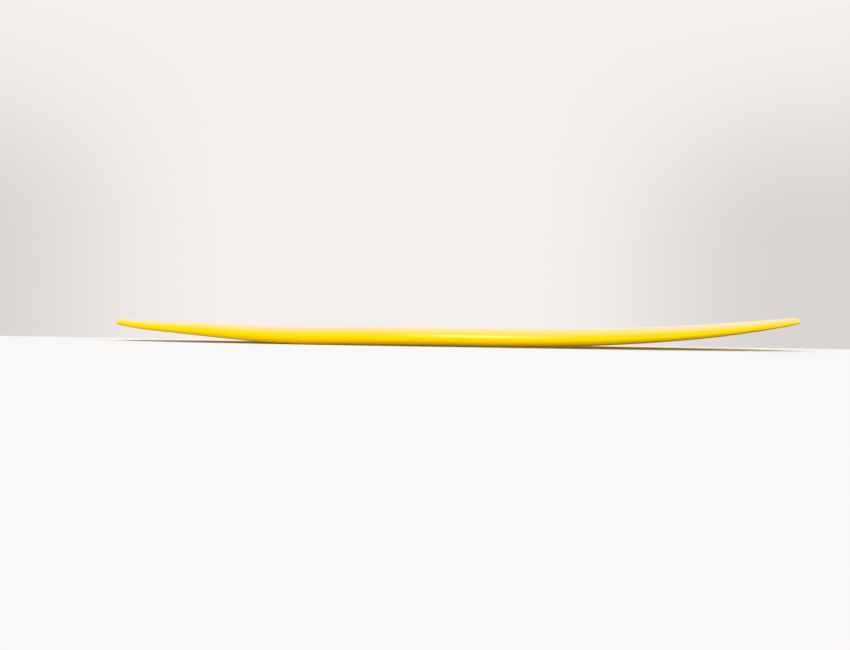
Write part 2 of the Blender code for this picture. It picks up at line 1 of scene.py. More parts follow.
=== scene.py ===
"""Looks of a glossy yellow longboard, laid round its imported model.

The board's skins are rebuilt finely by Geometry Nodes from the shaper's driving sizes, the
fittings are rebuilt with rounded edges, threads and sockets, and every finish is procedural.
"""
import json
import logging
import math
from dataclasses import dataclass, field
from enum import Enum
from typing import Callable, Iterable, Optional, Sequence, Union

import bmesh
import bpy
from mathutils import Matrix, Vector


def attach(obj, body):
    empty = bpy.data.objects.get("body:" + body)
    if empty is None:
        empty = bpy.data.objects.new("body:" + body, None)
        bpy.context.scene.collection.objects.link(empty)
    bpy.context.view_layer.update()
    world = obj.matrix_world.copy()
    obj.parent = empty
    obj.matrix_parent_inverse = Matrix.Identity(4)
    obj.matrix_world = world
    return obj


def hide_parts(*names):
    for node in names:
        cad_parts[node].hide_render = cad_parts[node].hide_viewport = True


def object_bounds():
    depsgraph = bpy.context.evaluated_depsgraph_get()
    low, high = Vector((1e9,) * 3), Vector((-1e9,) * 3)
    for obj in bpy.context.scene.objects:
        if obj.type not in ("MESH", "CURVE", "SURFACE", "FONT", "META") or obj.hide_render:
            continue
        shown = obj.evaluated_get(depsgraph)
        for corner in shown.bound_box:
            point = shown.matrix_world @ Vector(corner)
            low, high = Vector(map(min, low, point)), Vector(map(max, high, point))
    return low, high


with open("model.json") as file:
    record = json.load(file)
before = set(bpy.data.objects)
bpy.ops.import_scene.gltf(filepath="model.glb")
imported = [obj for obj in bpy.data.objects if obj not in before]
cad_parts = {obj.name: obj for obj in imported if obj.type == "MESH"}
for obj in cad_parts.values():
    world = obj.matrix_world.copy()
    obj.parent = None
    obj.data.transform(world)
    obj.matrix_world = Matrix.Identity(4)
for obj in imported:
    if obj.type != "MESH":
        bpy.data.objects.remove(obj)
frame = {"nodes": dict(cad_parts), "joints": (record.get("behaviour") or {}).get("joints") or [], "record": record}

LOG = logging.getLogger("longboard")
CAD_BOX = [list(corner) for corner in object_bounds()]

Colour = tuple[float, float, float]
Outline = Sequence[tuple[float, float]]
Number = Union[float, "Formula"]
Object, Material = bpy.types.Object, bpy.types.Material
Tree, Node, Socket = bpy.types.NodeTree, bpy.types.Node, bpy.types.NodeSocket
Solid = bmesh.types.BMesh

SLIVER = 0.0001  # how far a cutter passes a face, so that it cuts it cleanly
POCKET_REACH = 0.006  # how far a pocket's cutter stands to each side of the skin
CUT_ABOVE = 0.003  # how far a slot's cutter stands above the fitting's face


# ---- sums written as nodes ----------------------------------------------------------------
class Formula:
    """A value in a node tree that can be used in ordinary sums, each of which adds a node."""

    def __init__(self, tree: Tree, socket: Socket) -> None:
        """Wrap an output socket of a tree."""
        self.tree = tree
        self.socket = socket

    def node(self, operation: str, *values: Number) -> "Formula":
        """Add a Math node.

        Args:
            operation: the Math node's operation.
            values: its inputs in order, as numbers or formulas.

        Returns:
            The node's result.
        """
        made = self.tree.nodes.new("ShaderNodeMath")
        made.operation = operation
        for place, value in zip(made.inputs, values):
            feed(self.tree, place, value)
        return Formula(self.tree, made.outputs[0])

    def __add__(self, other: Number) -> "Formula":
        """Sum."""
        return self.node("ADD", self, other)

    __radd__ = __add__

    def __sub__(self, other: Number) -> "Formula":
        """Difference."""
        return self.node("SUBTRACT", self, other)

    def __rsub__(self, other: Number) -> "Formula":
        """Difference, the other way round."""
        return self.node("SUBTRACT", other, self)

    def __mul__(self, other: Number) -> "Formula":
        """Product."""
        return self.node("MULTIPLY", self, other)

    __rmul__ = __mul__

    def __truediv__(self, other: Number) -> "Formula":
        """Quotient."""
        return self.node("DIVIDE", self, other)

    def __rtruediv__(self, other: Number) -> "Formula":
        """Quotient, the other way round."""
        return self.node("DIVIDE", other, self)

    def __pow__(self, power: Number) -> "Formula":
        """Power of a value that is never below zero."""
        return self.node("POWER", self.at_least(0.0), power)

    def sin(self) -> "Formula":
        """Sine."""
        return self.node("SINE", self)

    def cos(self) -> "Formula":
        """Cosine."""
        return self.node("COSINE", self)

    def absolute(self) -> "Formula":
        """Size without sign."""
        return self.node("ABSOLUTE", self)

    def sign(self) -> "Formula":
        """Minus one, nought or one."""
        return self.node("SIGN", self)

    def fraction(self) -> "Formula":
        """What is left after the whole number below."""
        return self.node("FRACT", self)

    def at_least(self, low: Number) -> "Formula":
        """The larger of two values."""
        return self.node("MAXIMUM", self, low)

    def at_most(self, high: Number) -> "Formula":
        """The smaller of two values."""
        return self.node("MINIMUM", self, high)

    def above(self, level: Number) -> "Formula":
        """One above a level, nought below."""
        return self.node("GREATER_THAN", self, level)

    def between(self, low: Number, high: Number) -> "Formula":
        """The value kept inside two limits."""
        return self.at_least(low).at_most(high)

    def smooth(self, start: Number, end: Number) -> "Formula":
        """Smooth step from nought at start to one at end."""
        turn = ((self - start) / (end - start)).between(0.0, 1.0)
        return turn * turn * (3.0 - 2.0 * turn)

    def mix(self, when_nought: Number, when_one: Number) -> "Formula":
        """Blend of two values, with this one as the share of the second."""
        return self * when_one + (1.0 - self) * when_nought


def feed(tree: Tree, place: Socket, value: object) -> None:
    """Link a formula or a socket to an input, or set the input to a plain value."""
    if isinstance(value, Formula):
        tree.links.new(value.socket, place)
    elif isinstance(value, Socket):
        tree.links.new(value, place)
    elif value is not None:
        place.default_value = value


def add_node(tree: Tree, kind: str, settings: Optional[dict] = None,
             **inputs: object) -> Node:
    """Add a node to a tree.

    Args:
        tree: the tree it goes in.
        kind: the node's type name.
        settings: properties to set on the node.
        inputs: values or sockets for its inputs, by name with underscores for spaces.

    Returns:
        The new node.
    """
    made = tree.nodes.new(kind)
    for name, value in (settings or {}).items():
        setattr(made, name, value)
    for name, value in inputs.items():
        feed(tree, made.inputs[name.replace("_", " ")], value)
    return made


def noise(tree: Tree, vector: Socket, scale: Number, detail: float, roughness: float,
          stretch: Colour) -> Formula:
    """Noise on a vector that is stretched along its axes."""
    mapped = add_node(tree, "ShaderNodeMapping", Vector=vector, Scale=stretch)
    made = add_node(tree, "ShaderNodeTexNoise", Vector=mapped.outputs[0], Scale=scale,
                    Detail=detail, Roughness=roughness)
    return Formula(tree, made.outputs[0])


# ---- Geometry Nodes trees -----------------------------------------------------------------
class Recipe:
    """A Geometry Nodes tree with named inputs, which makes one piece's mesh."""

    def __init__(self, name: str, inputs: dict[str, float]) -> None:
        """Open a tree with its inputs.

        Args:
            name: the tree's name.
            inputs: the named sizes, with the values that this object has.
        """
        self.tree = bpy.data.node_groups.new(name, "GeometryNodeTree")
        self.values = dict(inputs)
        panel = self.tree.interface
        for label, value in inputs.items():
            kind = "NodeSocketInt" if isinstance(value, int) else "NodeSocketFloat"
            panel.new_socket(label, in_out="INPUT", socket_type=kind).default_value = value
        panel.new_socket("Finish", in_out="INPUT", socket_type="NodeSocketMaterial")
        panel.new_socket("Geometry", in_out="OUTPUT", socket_type="NodeSocketGeometry")
        self.entry = self.tree.nodes.new("NodeGroupInput")
        self.exit = self.tree.nodes.new("NodeGroupOutput")

    def size(self, label: str) -> Formula:
        """A named input as a formula."""
        return Formula(self.tree, self.entry.outputs[label])

    def add(self, kind: str, settings: Optional[dict] = None, **inputs: object) -> Node:
        """Add a node to this tree."""
        return add_node(self.tree, kind, settings, **inputs)

    def vector(self, x: Number, y: Number, z: Number) -> Socket:
        """A vector from three values."""
        return self.add("ShaderNodeCombineXYZ", X=x, Y=y, Z=z).outputs[0]

    def close(self, geometry: Socket) -> None:
        """End the tree: realize, set the finish, put out the geometry."""
        real = self.add("GeometryNodeRealizeInstances", Geometry=geometry).outputs[0]
        dressed = self.add("GeometryNodeSetMaterial", Geometry=real, Material=self.entry.outputs["Finish"])
        self.tree.links.new(dressed.outputs[0], self.exit.inputs[0])

    def make(self, name: str, finish: Material, sizes: Optional[dict] = None) -> Object:
        """Run the tree once.

        Args:
            name: the piece's name.
            finish: its material.
            sizes: inputs that differ from the tree's own values.

        Returns:
            A plain mesh object.
        """
        seed = bpy.data.objects.new(name, bpy.data.meshes.new(name))
        bpy.context.collection.objects.link(seed)
        modifier = seed.modifiers.new("recipe", "NODES")
        modifier.node_group = self.tree
        sockets = {s.name: s.identifier for s in self.tree.interface.items_tree
                   if getattr(s, "in_out", "") == "INPUT"}
        for label, value in {**self.values, **(sizes or {})}.items():
            modifier[sockets[label]] = value
        modifier[sockets["Finish"]] = finish
        return apply_modifiers(seed)


# ---- mesh helpers -------------------------------------------------------------------------
def apply_modifiers(obj: Object) -> Object:
    """Turn an object's evaluated shape into its own plain mesh."""
    bpy.context.view_layer.update()
    graph = bpy.context.evaluated_depsgraph_get()
    mesh = bpy.data.meshes.new_from_object(obj.evaluated_get(graph), depsgraph=graph)
    obj.modifiers.clear()
    obj.data = mesh
    mesh.name = obj.name
    return obj


def smooth_by_angle(obj: Object, degrees: float = 32.0) -> Object:
    """Shade smooth, with edges sharper than an angle kept crisp."""
    obj.data.shade_smooth()
    obj.data.set_sharp_from_angle(angle=math.radians(degrees))
    return obj


def from_bmesh(name: str, bm: Solid, frame_matrix: Matrix,
               finish: Optional[Material] = None) -> Object:
    """Turn a bmesh into an object whose place is in its mesh, facing outwards."""
    bm.transform(frame_matrix)
    bmesh.ops.remove_doubles(bm, verts=bm.verts, dist=1e-7)
    bmesh.ops.recalc_face_normals(bm, faces=bm.faces)
    if bm.calc_volume(signed=True) < 0:
        bmesh.ops.reverse_faces(bm, faces=bm.faces)
    mesh = bpy.data.meshes.new(name)
    bm.to_mesh(mesh)
    bm.free()
    obj = bpy.data.objects.new(name, mesh)
    bpy.context.collection.objects.link(obj)
    if finish:
        mesh.materials.append(finish)
    return obj


def rings_solid(rings: Sequence[Sequence[tuple[float, float, float]]]) -> Solid:
    """A closed solid through a stack of equally long rings."""
    bm = bmesh.new()
    rows = [[bm.verts.new(point) for point in ring] for ring in rings]
    for near, far in zip(rows, rows[1:]):
        for a, b, c, d in zip(near, near[1:] + near[:1], far[1:] + far[:1], far):
            bm.faces.new((a, b, c, d))
    bm.faces.new(rows[0])
    bm.faces.new(rows[-1])
    return bm


def circle(radius: float, count: int) -> Outline:
    """Points round a circle."""
    return [(radius * math.cos(2 * math.pi * i / count), radius * math.sin(2 * math.pi * i / count))
            for i in range(count)]


def stadium(length: float, width: float, count: int = 24) -> Outline:
    """A rectangle with two round ends."""
    radius, reach = width / 2, (length - width) / 2
    points = []
    for centre, start in ((reach, -math.pi / 2), (-reach, math.pi / 2)):
        for i in range(count + 1):
            turn = start + math.pi * i / count
            points.append((centre + radius * math.cos(turn), radius * math.sin(turn)))
    return points


def rectangle(length: float, width: float, x: float = 0.0, y: float = 0.0) -> Outline:
    """Corners of a rectangle."""
    a, b = length / 2, width / 2
    return [(x - a, y - b), (x + a, y - b), (x + a, y + b), (x - a, y + b)]


def prism(outline: Outline, low: float, high: float) -> Solid:
    """A solid of one outline between two heights."""
    return rings_solid([[(x, y, z) for x, y in outline] for z in (low, high)])


def turned(profile: Iterable[tuple[float, float]], count: int = 64) -> Solid:
    """A turned solid from (radius, height) pairs, listed from one end to the other."""
    return rings_solid([[(x, y, z) for x, y in circle(radius, count)] for radius, z in profile])


def carve(obj: Object, cutter: Object, keep_cutter: bool = False) -> Object:
    """Cut one object with another, and drop the cutter."""
    modifier = obj.modifiers.new("cut", "BOOLEAN")
    modifier.object = cutter
    modifier.operation = "DIFFERENCE"
    modifier.solver = "EXACT"
    apply_modifiers(obj)
    if not keep_cutter:
        bpy.data.objects.remove(cutter, do_unlink=True)
    return obj


def round_edges(obj: Object, width: float, segments: int = 2, angle: float = 35.0) -> Object:
    """Round an object's sharp edges."""
    modifier = obj.modifiers.new("round", "BEVEL")
    modifier.width = width
    modifier.segments = segments
    modifier.limit_method = "ANGLE"
    modifier.angle_limit = math.radians(angle)
    modifier.use_clamp_overlap = True
    return apply_modifiers(obj)


# ---- shared shader effects ----------------------------------------------------------------
class Effect:
    """A shader node group with named inputs and outputs, placed in several finishes."""

    def __init__(self, name: str, inputs: dict[str, float], outputs: Sequence[str]) -> None:
        """Open a group.

        Args:
            name: the group's name.
            inputs: named numbers with their usual values.
            outputs: names of the values that it puts out.
        """
        self.tree = bpy.data.node_groups.new(name, "ShaderNodeTree")
        self.tree.interface.new_socket("Vector", in_out="INPUT", socket_type="NodeSocketVector")
        for label, value in inputs.items():
            made = self.tree.interface.new_socket(label, in_out="INPUT", socket_type="NodeSocketFloat")
            made.default_value = value
        for label in outputs:
            self.tree.interface.new_socket(label, in_out="OUTPUT", socket_type="NodeSocketFloat")
        self.entry = self.tree.nodes.new("NodeGroupInput")
        self.exit = self.tree.nodes.new("NodeGroupOutput")

    def value(self, label: str) -> Formula:
        """A named input as a formula."""
        return Formula(self.tree, self.entry.outputs[label])

    def noise(self, scale: Number, detail: float = 3.0, roughness: float = 0.5,
              stretch: tuple[float, float, float] = (1.0, 1.0, 1.0)) -> Formula:
        """Noise on the group's vector, stretched along its axes."""
        return noise(self.tree, self.entry.outputs["Vector"], scale, detail, roughness, stretch)

    def put(self, label: str, value: Number) -> None:
        """Connect a result to a named output."""
        feed(self.tree, self.exit.inputs[label], value)


def polish_marks() -> Effect:
    """Hand polishing: broad cloudy gloss, hairline scratches and a few dust pits."""
    group = Effect("polish_marks", {"Amount": 1.0}, ("Rough", "Height"))
    cloud = group.noise(5.0, 4.0, 0.6)
    hair = group.noise(900.0, 2.0, 0.5, (0.03, 1.0, 1.0))
    crossing = group.noise(700.0, 2.0, 0.5, (1.0, 0.04, 1.0))
    scratch = hair.smooth(0.66, 0.74) + crossing.smooth(0.68, 0.76)
    pit = group.noise(160.0, 1.0, 0.4).smooth(0.76, 0.80)
    amount = group.value("Amount")
    group.put("Rough", amount * ((cloud - 0.5) * 0.10 + scratch * 0.05 + pit * 0.10))
    group.put("Height", 0.0 - amount * (scratch * 0.25 + pit * 0.6))
    return group


def cloth_weave() -> Effect:
    """Plain weave of glass cloth: warp and weft over and under each other."""
    group = Effect("cloth_weave", {"Pitch": 0.0012}, ("Thread", "Height"))
    split = add_node(group.tree, "ShaderNodeSeparateXYZ", Vector=group.entry.outputs["Vector"])
    pitch = group.value("Pitch")
    warp = Formula(group.tree, split.outputs[0]) / pitch * math.pi
    weft = Formula(group.tree, split.outputs[1]) / pitch * math.pi
    over = warp.sin() * weft.sin()
    along = warp.cos().absolute() * over.above(0.0)
    across = weft.cos().absolute() * (1.0 - over.above(0.0))
    group.put("Thread", along + across)
    group.put("Height", over.absolute())
    return group


def moulded_grain() -> Effect:
    """Fine spark-eroded grain of a moulded fitting, with scuffs."""
    group = Effect("moulded_grain", {"Scale": 2600.0}, ("Height", "Scuff"))
    fine = group.noise(group.value("Scale"), 2.0, 0.6)
    scuff = group.noise(240.0, 5.0, 0.7, (1.0, 0.35, 1.0)).smooth(0.58, 0.72)
    group.put("Height", fine - scuff * 0.4)
    group.put("Scuff", scuff)
    return group


def brushed_lines() -> Effect:
    """Fine turning or brushing lines on steel, with dull spots."""
    group = Effect("brushed_lines", {"Scale": 3200.0}, ("Rough", "Height"))
    lines = group.noise(group.value("Scale"), 3.0, 0.6, (1.0, 1.0, 0.06))
    spots = group.noise(420.0, 3.0, 0.6).smooth(0.55, 0.75)
    group.put("Rough", (lines - 0.5) * 0.22 + spots * 0.16)
    group.put("Height", lines)
    return group


EFFECTS: dict[str, Effect] = {}


def effect(builder: Callable[[], Effect]) -> Effect:
    """A shared effect, built once."""
    if builder.__name__ not in EFFECTS:
        EFFECTS[builder.__name__] = builder()
    return EFFECTS[builder.__name__]


# ---- finishes -----------------------------------------------------------------------------
class Coordinates(Enum):
    """Where a finish's pattern is read from."""

    OBJECT = "Object"
    SKIN = "UV"


class Bench:
    """A new material's tree with its Principled shader, and short cuts to build on it."""

    def __init__(self, name: str, coordinates: Coordinates) -> None:
        """Open a material.

        Args:
            name: its name.
            coordinates: what its patterns are laid on.
        """
        self.material = bpy.data.materials.new(name)
        self.material.use_nodes = True
        self.tree = self.material.node_tree
        self.shader = self.tree.nodes["Principled BSDF"]
        self.place = add_node(self.tree, "ShaderNodeTexCoord").outputs[coordinates.value]

    def effect(self, builder: Callable[[], Effect], **inputs: float) -> dict[str, Formula]:
        """Place a shared effect and return its outputs by name."""
        made = self.tree.nodes.new("ShaderNodeGroup")
        made.node_tree = effect(builder).tree
        feed(self.tree, made.inputs["Vector"], self.place)
        for label, value in inputs.items():
            made.inputs[label].default_value = value
        return {o.name: Formula(self.tree, o) for o in made.outputs}

    def noise(self, scale: float, detail: float = 3.0,
              stretch: tuple[float, float, float] = (1.0, 1.0, 1.0)) -> Formula:
        """Noise on the finish's coordinates."""
        return noise(self.tree, self.place, scale, detail, 0.5, stretch)

    def attribute(self, name: str) -> Formula:
        """A number stored on the mesh."""
        made = add_node(self.tree, "ShaderNodeAttribute", {"attribute_name": name})
        return Formula(self.tree, made.outputs["Fac"])

    def tint(self, share: Formula, first: object, second: object) -> Socket:
        """Mix of two colours, each a tuple or a socket."""
        made = add_node(self.tree, "ShaderNodeMix", {"data_type": "RGBA"})
        feed(self.tree, made.inputs[0], share.between(0.0, 1.0))
        for place, colour in ((made.inputs[6], first), (made.inputs[7], second)):
            feed(self.tree, place, (*colour, 1.0) if isinstance(colour, tuple) else colour)
        return made.outputs[2]

    def bump(self, height: Formula, strength: float, distance: float) -> None:
        """Feed a height through a Bump node into the shader's normal."""
        made = add_node(self.tree, "ShaderNodeBump", Height=height, Strength=strength, Distance=distance)
        feed(self.tree, self.shader.inputs["Normal"], made.outputs[0])

    def set(self, **inputs: object) -> None:
        """Set or link the shader's inputs."""
        for name, value in inputs.items():
            feed(self.tree, self.shader.inputs[name.replace("_", " ")], value)


@dataclass(frozen=True)
class GlossResin:
    """Pigmented polyester resin over glass cloth, hot coated, sanded and polished."""

    colour: Colour = (0.890, 0.590, 0.0)
    deep: Colour = (0.840, 0.540, 0.0)
    under_stringer: Colour = (0.780, 0.480, 0.002)
    roughness: float = 0.30
    coat_roughness: float = 0.035
    stringer_half_width: float = 0.0026
    stringer_share: float = 0.35  # how far the wood shows through
    least_depth: float = 0.10  # share of the deeper colour, before these four add theirs
    lap_share: float = 0.30
    cloud_share: float = 0.30
    streak_share: float = 0.25
    thread_share: float = 0.05

    def build(self) -> Material:
        """Make the finish on the skin's own UV map, in metres along and round the board."""
        bench = Bench("yellow_gloss_resin", Coordinates.SKIN)
        weave = bench.effect(cloth_weave, Pitch=0.0011)
        polish = bench.effect(polish_marks, Amount=1.0)
        lap = bench.attribute("lap")
        centre = bench.attribute("off_centre")
        cloud = bench.noise(2.2, 5.0)
        streak = bench.noise(3.0, 3.0, (0.25, 6.0, 1.0))
        depth = (self.lap_share * lap + self.cloud_share * (cloud - 0.5)
                 + self.streak_share * (streak - 0.5) + self.thread_share * weave["Thread"])
        body = bench.tint(depth + self.least_depth, self.colour, self.deep)
        wood = 1.0 - centre.smooth(self.stringer_half_width * 0.8, self.stringer_half_width * 1.3)
        body = bench.tint(self.stringer_share * wood, body, self.under_stringer)
        bench.set(Base_Color=body, Roughness=(polish["Rough"] + self.roughness).between(0.03, 0.5),
                  IOR=1.52, Specular_IOR_Level=0.0, Coat_Weight=0.9, Coat_Roughness=self.coat_roughness,
                  Coat_IOR=1.5)
        bench.bump(polish["Height"] + 0.05 * weave["Height"] + bench.noise(60.0, 2.0), 0.10, 0.00012)
        return bench.material


@dataclass(frozen=True)
class MouldedPlastic:
    """Glass-filled moulded plastic of the fittings."""

    name: str = "fitting_plastic_white"
    colour: Colour = (0.70, 0.69, 0.66)
    worn: Colour = (0.52, 0.51, 0.48)
    roughness: float = 0.42

    def build(self) -> Material:
        """Make the finish."""
        bench = Bench(self.name, Coordinates.OBJECT)
        grain = bench.effect(moulded_grain, Scale=2600.0)
        wear = grain["Scuff"] * 0.6 + 0.25 * bench.noise(90.0)
        bench.set(Base_Color=bench.tint(wear, self.colour, self.worn),
                  Roughness=(self.roughness + 0.15 * grain["Scuff"]).between(0.1, 0.9), IOR=1.5)
        bench.bump(grain["Height"], 0.35, 0.00004)
        return bench.material


@dataclass(frozen=True)
class Steel:
    """Stainless steel with fine machining lines."""

    name: str = "stainless_steel"
    colour: Colour = (0.62, 0.61, 0.59)
    dull: Colour = (0.45, 0.44, 0.42)
    roughness: float = 0.24

    def build(self) -> Material:
        """Make the finish."""
        bench = Bench(self.name, Coordinates.OBJECT)
        lines = bench.effect(brushed_lines, Scale=3200.0)
        dulled = bench.noise(300.0, 4.0).smooth(0.45, 0.7)
        bench.set(Base_Color=bench.tint(dulled, self.colour, self.dull),
                  Metallic=1.0, Roughness=(self.roughness + lines["Rough"]).between(0.08, 0.7))
        bench.bump(lines["Height"], 0.25, 0.00003)
        return bench.material


@dataclass(frozen=True)
class Foam:
    """Closed-cell blank foam, sanded."""

    colour: Colour = (0.86, 0.80, 0.62)
    shade: Colour = (0.72, 0.62, 0.40)

    def build(self) -> Material:
        """Make the finish."""
        bench = Bench("blank_foam", Coordinates.OBJECT)
        cells = add_node(bench.tree, "ShaderNodeTexVoronoi", Vector=bench.place, Scale=900.0)
        cell = Formula(bench.tree, cells.outputs["Distance"])
        shaded = cell * 0.5 + 0.4 * bench.noise(14.0)
        bench.set(Base_Color=bench.tint(shaded, self.colour, self.shade), Roughness=0.85)
        bench.bump(cell, 0.5, 0.0003)
        return bench.material


@dataclass(frozen=True)
class StringerWood:
    """Thin quarter-sawn stringer wood with grain along the board."""

    colour: Colour = (0.52, 0.33, 0.17)
    late: Colour = (0.30, 0.17, 0.08)

    def build(self) -> Material:
        """Make the finish."""
        bench = Bench("stringer_wood_grain", Coordinates.OBJECT)
        rings = bench.noise(40.0, 5.0, (0.06, 1.0, 6.0))
        pores = bench.noise(700.0, 2.0, (0.04, 1.0, 1.0)).smooth(0.58, 0.7)
        dark = rings.smooth(0.4, 0.62) * 0.8 + pores * 0.3
        bench.set(Base_Color=bench.tint(dark, self.colour, self.late), Roughness=0.6)
        bench.bump(pores + rings, 0.3, 0.0001)
        return bench.material


@dataclass(frozen=True)
class GlassCloth:
    """Resin-soaked glass cloth, before the pigmented coat."""

    colour: Colour = (0.80, 0.74, 0.46)
    thread: Colour = (0.90, 0.88, 0.74)

    def build(self) -> Material:
        """Make the finish."""
        bench = Bench("soaked_glass_cloth", Coordinates.OBJECT)
        weave = bench.effect(cloth_weave, Pitch=0.0012)
        bench.set(Base_Color=bench.tint(weave["Thread"] * 0.7, self.colour, self.thread), Roughness=0.4)
        bench.bump(weave["Height"], 0.4, 0.0001)
        return bench.material


@dataclass(frozen=True)
class PlainStage:
    """Matt pale floor that is seen from above only, and lets part of the soft light through."""

    name: str
    colour: Colour
    soft_light_share: float = 0.38

    def build(self) -> Material:
        """Make the finish: clear from behind and to polish, and partly clear to soft light."""
        bench = Bench(self.name, Coordinates.OBJECT)
        face = add_node(bench.tree, "ShaderNodeNewGeometry").outputs
        behind = Formula(bench.tree, face["Backfacing"])
        path = add_node(bench.tree, "ShaderNodeLightPath").outputs
        polish = Formula(bench.tree, path["Is Glossy Ray"])
        soft = Formula(bench.tree, path["Is Diffuse Ray"])
        clear = behind.at_least(polish).at_least(soft * self.soft_light_share)
        bench.set(Base_Color=(*self.colour, 1.0), Roughness=0.9, Specular_IOR_Level=0.0,
                  Alpha=1.0 - clear)
        return bench.material


# ---- pieces -------------------------------------------------------------------------------
def install(piece: Object, body: str, slot: str, *nodes: str) -> Object:
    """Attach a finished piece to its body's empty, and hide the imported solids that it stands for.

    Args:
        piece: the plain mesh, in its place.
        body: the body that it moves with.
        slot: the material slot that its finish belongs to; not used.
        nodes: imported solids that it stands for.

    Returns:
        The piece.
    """
    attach(piece, body)
    if nodes:
        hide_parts(*nodes)
    LOG.info("%s: %d faces, on %s", piece.name, len(piece.data.polygons), body)
    return piece


def mount(name: str) -> tuple[Vector, Vector]:
    """A mount's point and outward direction."""
    found = next(m for m in frame["record"]["mounts"] if m["name"] == name)
    return Vector(found["pos_m"]), Vector(found["axis"])


def joint(name: str) -> tuple[Vector, Vector]:
    """A joint's point and axis."""
    found = next(j for j in frame["joints"] if j["name"] == name)
    return Vector(found["pos_m"]), Vector(found["axis"])


def axes(origin: Vector, out: Vector, forward: Vector) -> Matrix:
    """A fitting's own frame: +Z out, +X as near forward as it can be."""
    z = out.normalized()
    x = (forward - z * forward.dot(z)).normalized()
    return Matrix.Translation(origin) @ Matrix((x, z.cross(x), z)).transposed().to_4x4()


@dataclass
class BoardForm:
    """The shaper's driving sizes, in metres, fractions of the length, and curve powers."""

    length: float = 2.743
    width: float = 0.572
    thickness: float = 0.073
    tail_thickness: float = 0.022
    nose_thickness: float = 0.027
    thickest_at: float = 0.46
    widest_at: float = 0.52
    flat_from: float = 0.31
    flat_to: float = 0.51
    panel_from: float = 0.060
    panel_to: float = 0.185
    panel_rise: float = 0.235
    tail_tip_rise: float = 0.563
    nose_rocker: float = 0.108
    nose_rocker_power: float = 2.25
    foil_power: float = 2.2
    nose_outline_power: float = 3.1
    tail_outline_power: float = 2.8
    tail_block_half: float = 0.075
    tail_corner: float = 0.045
    tail_corner_power: float = 2.4
    apex_height: float = 0.36
    tail_apex_height: float = 0.28
    flat_width: float = 0.62
    tail_flat_width: float = 0.86
    lap: float = 0.050
    layer: float = 0.0010

    def inputs(self) -> dict[str, float]:
        """The sizes as named tree inputs."""
        return dict(self.__dict__)


class Side(Enum):
    """The two laminates of the board."""

    DECK = "deck"
    BOTTOM = "bottom"


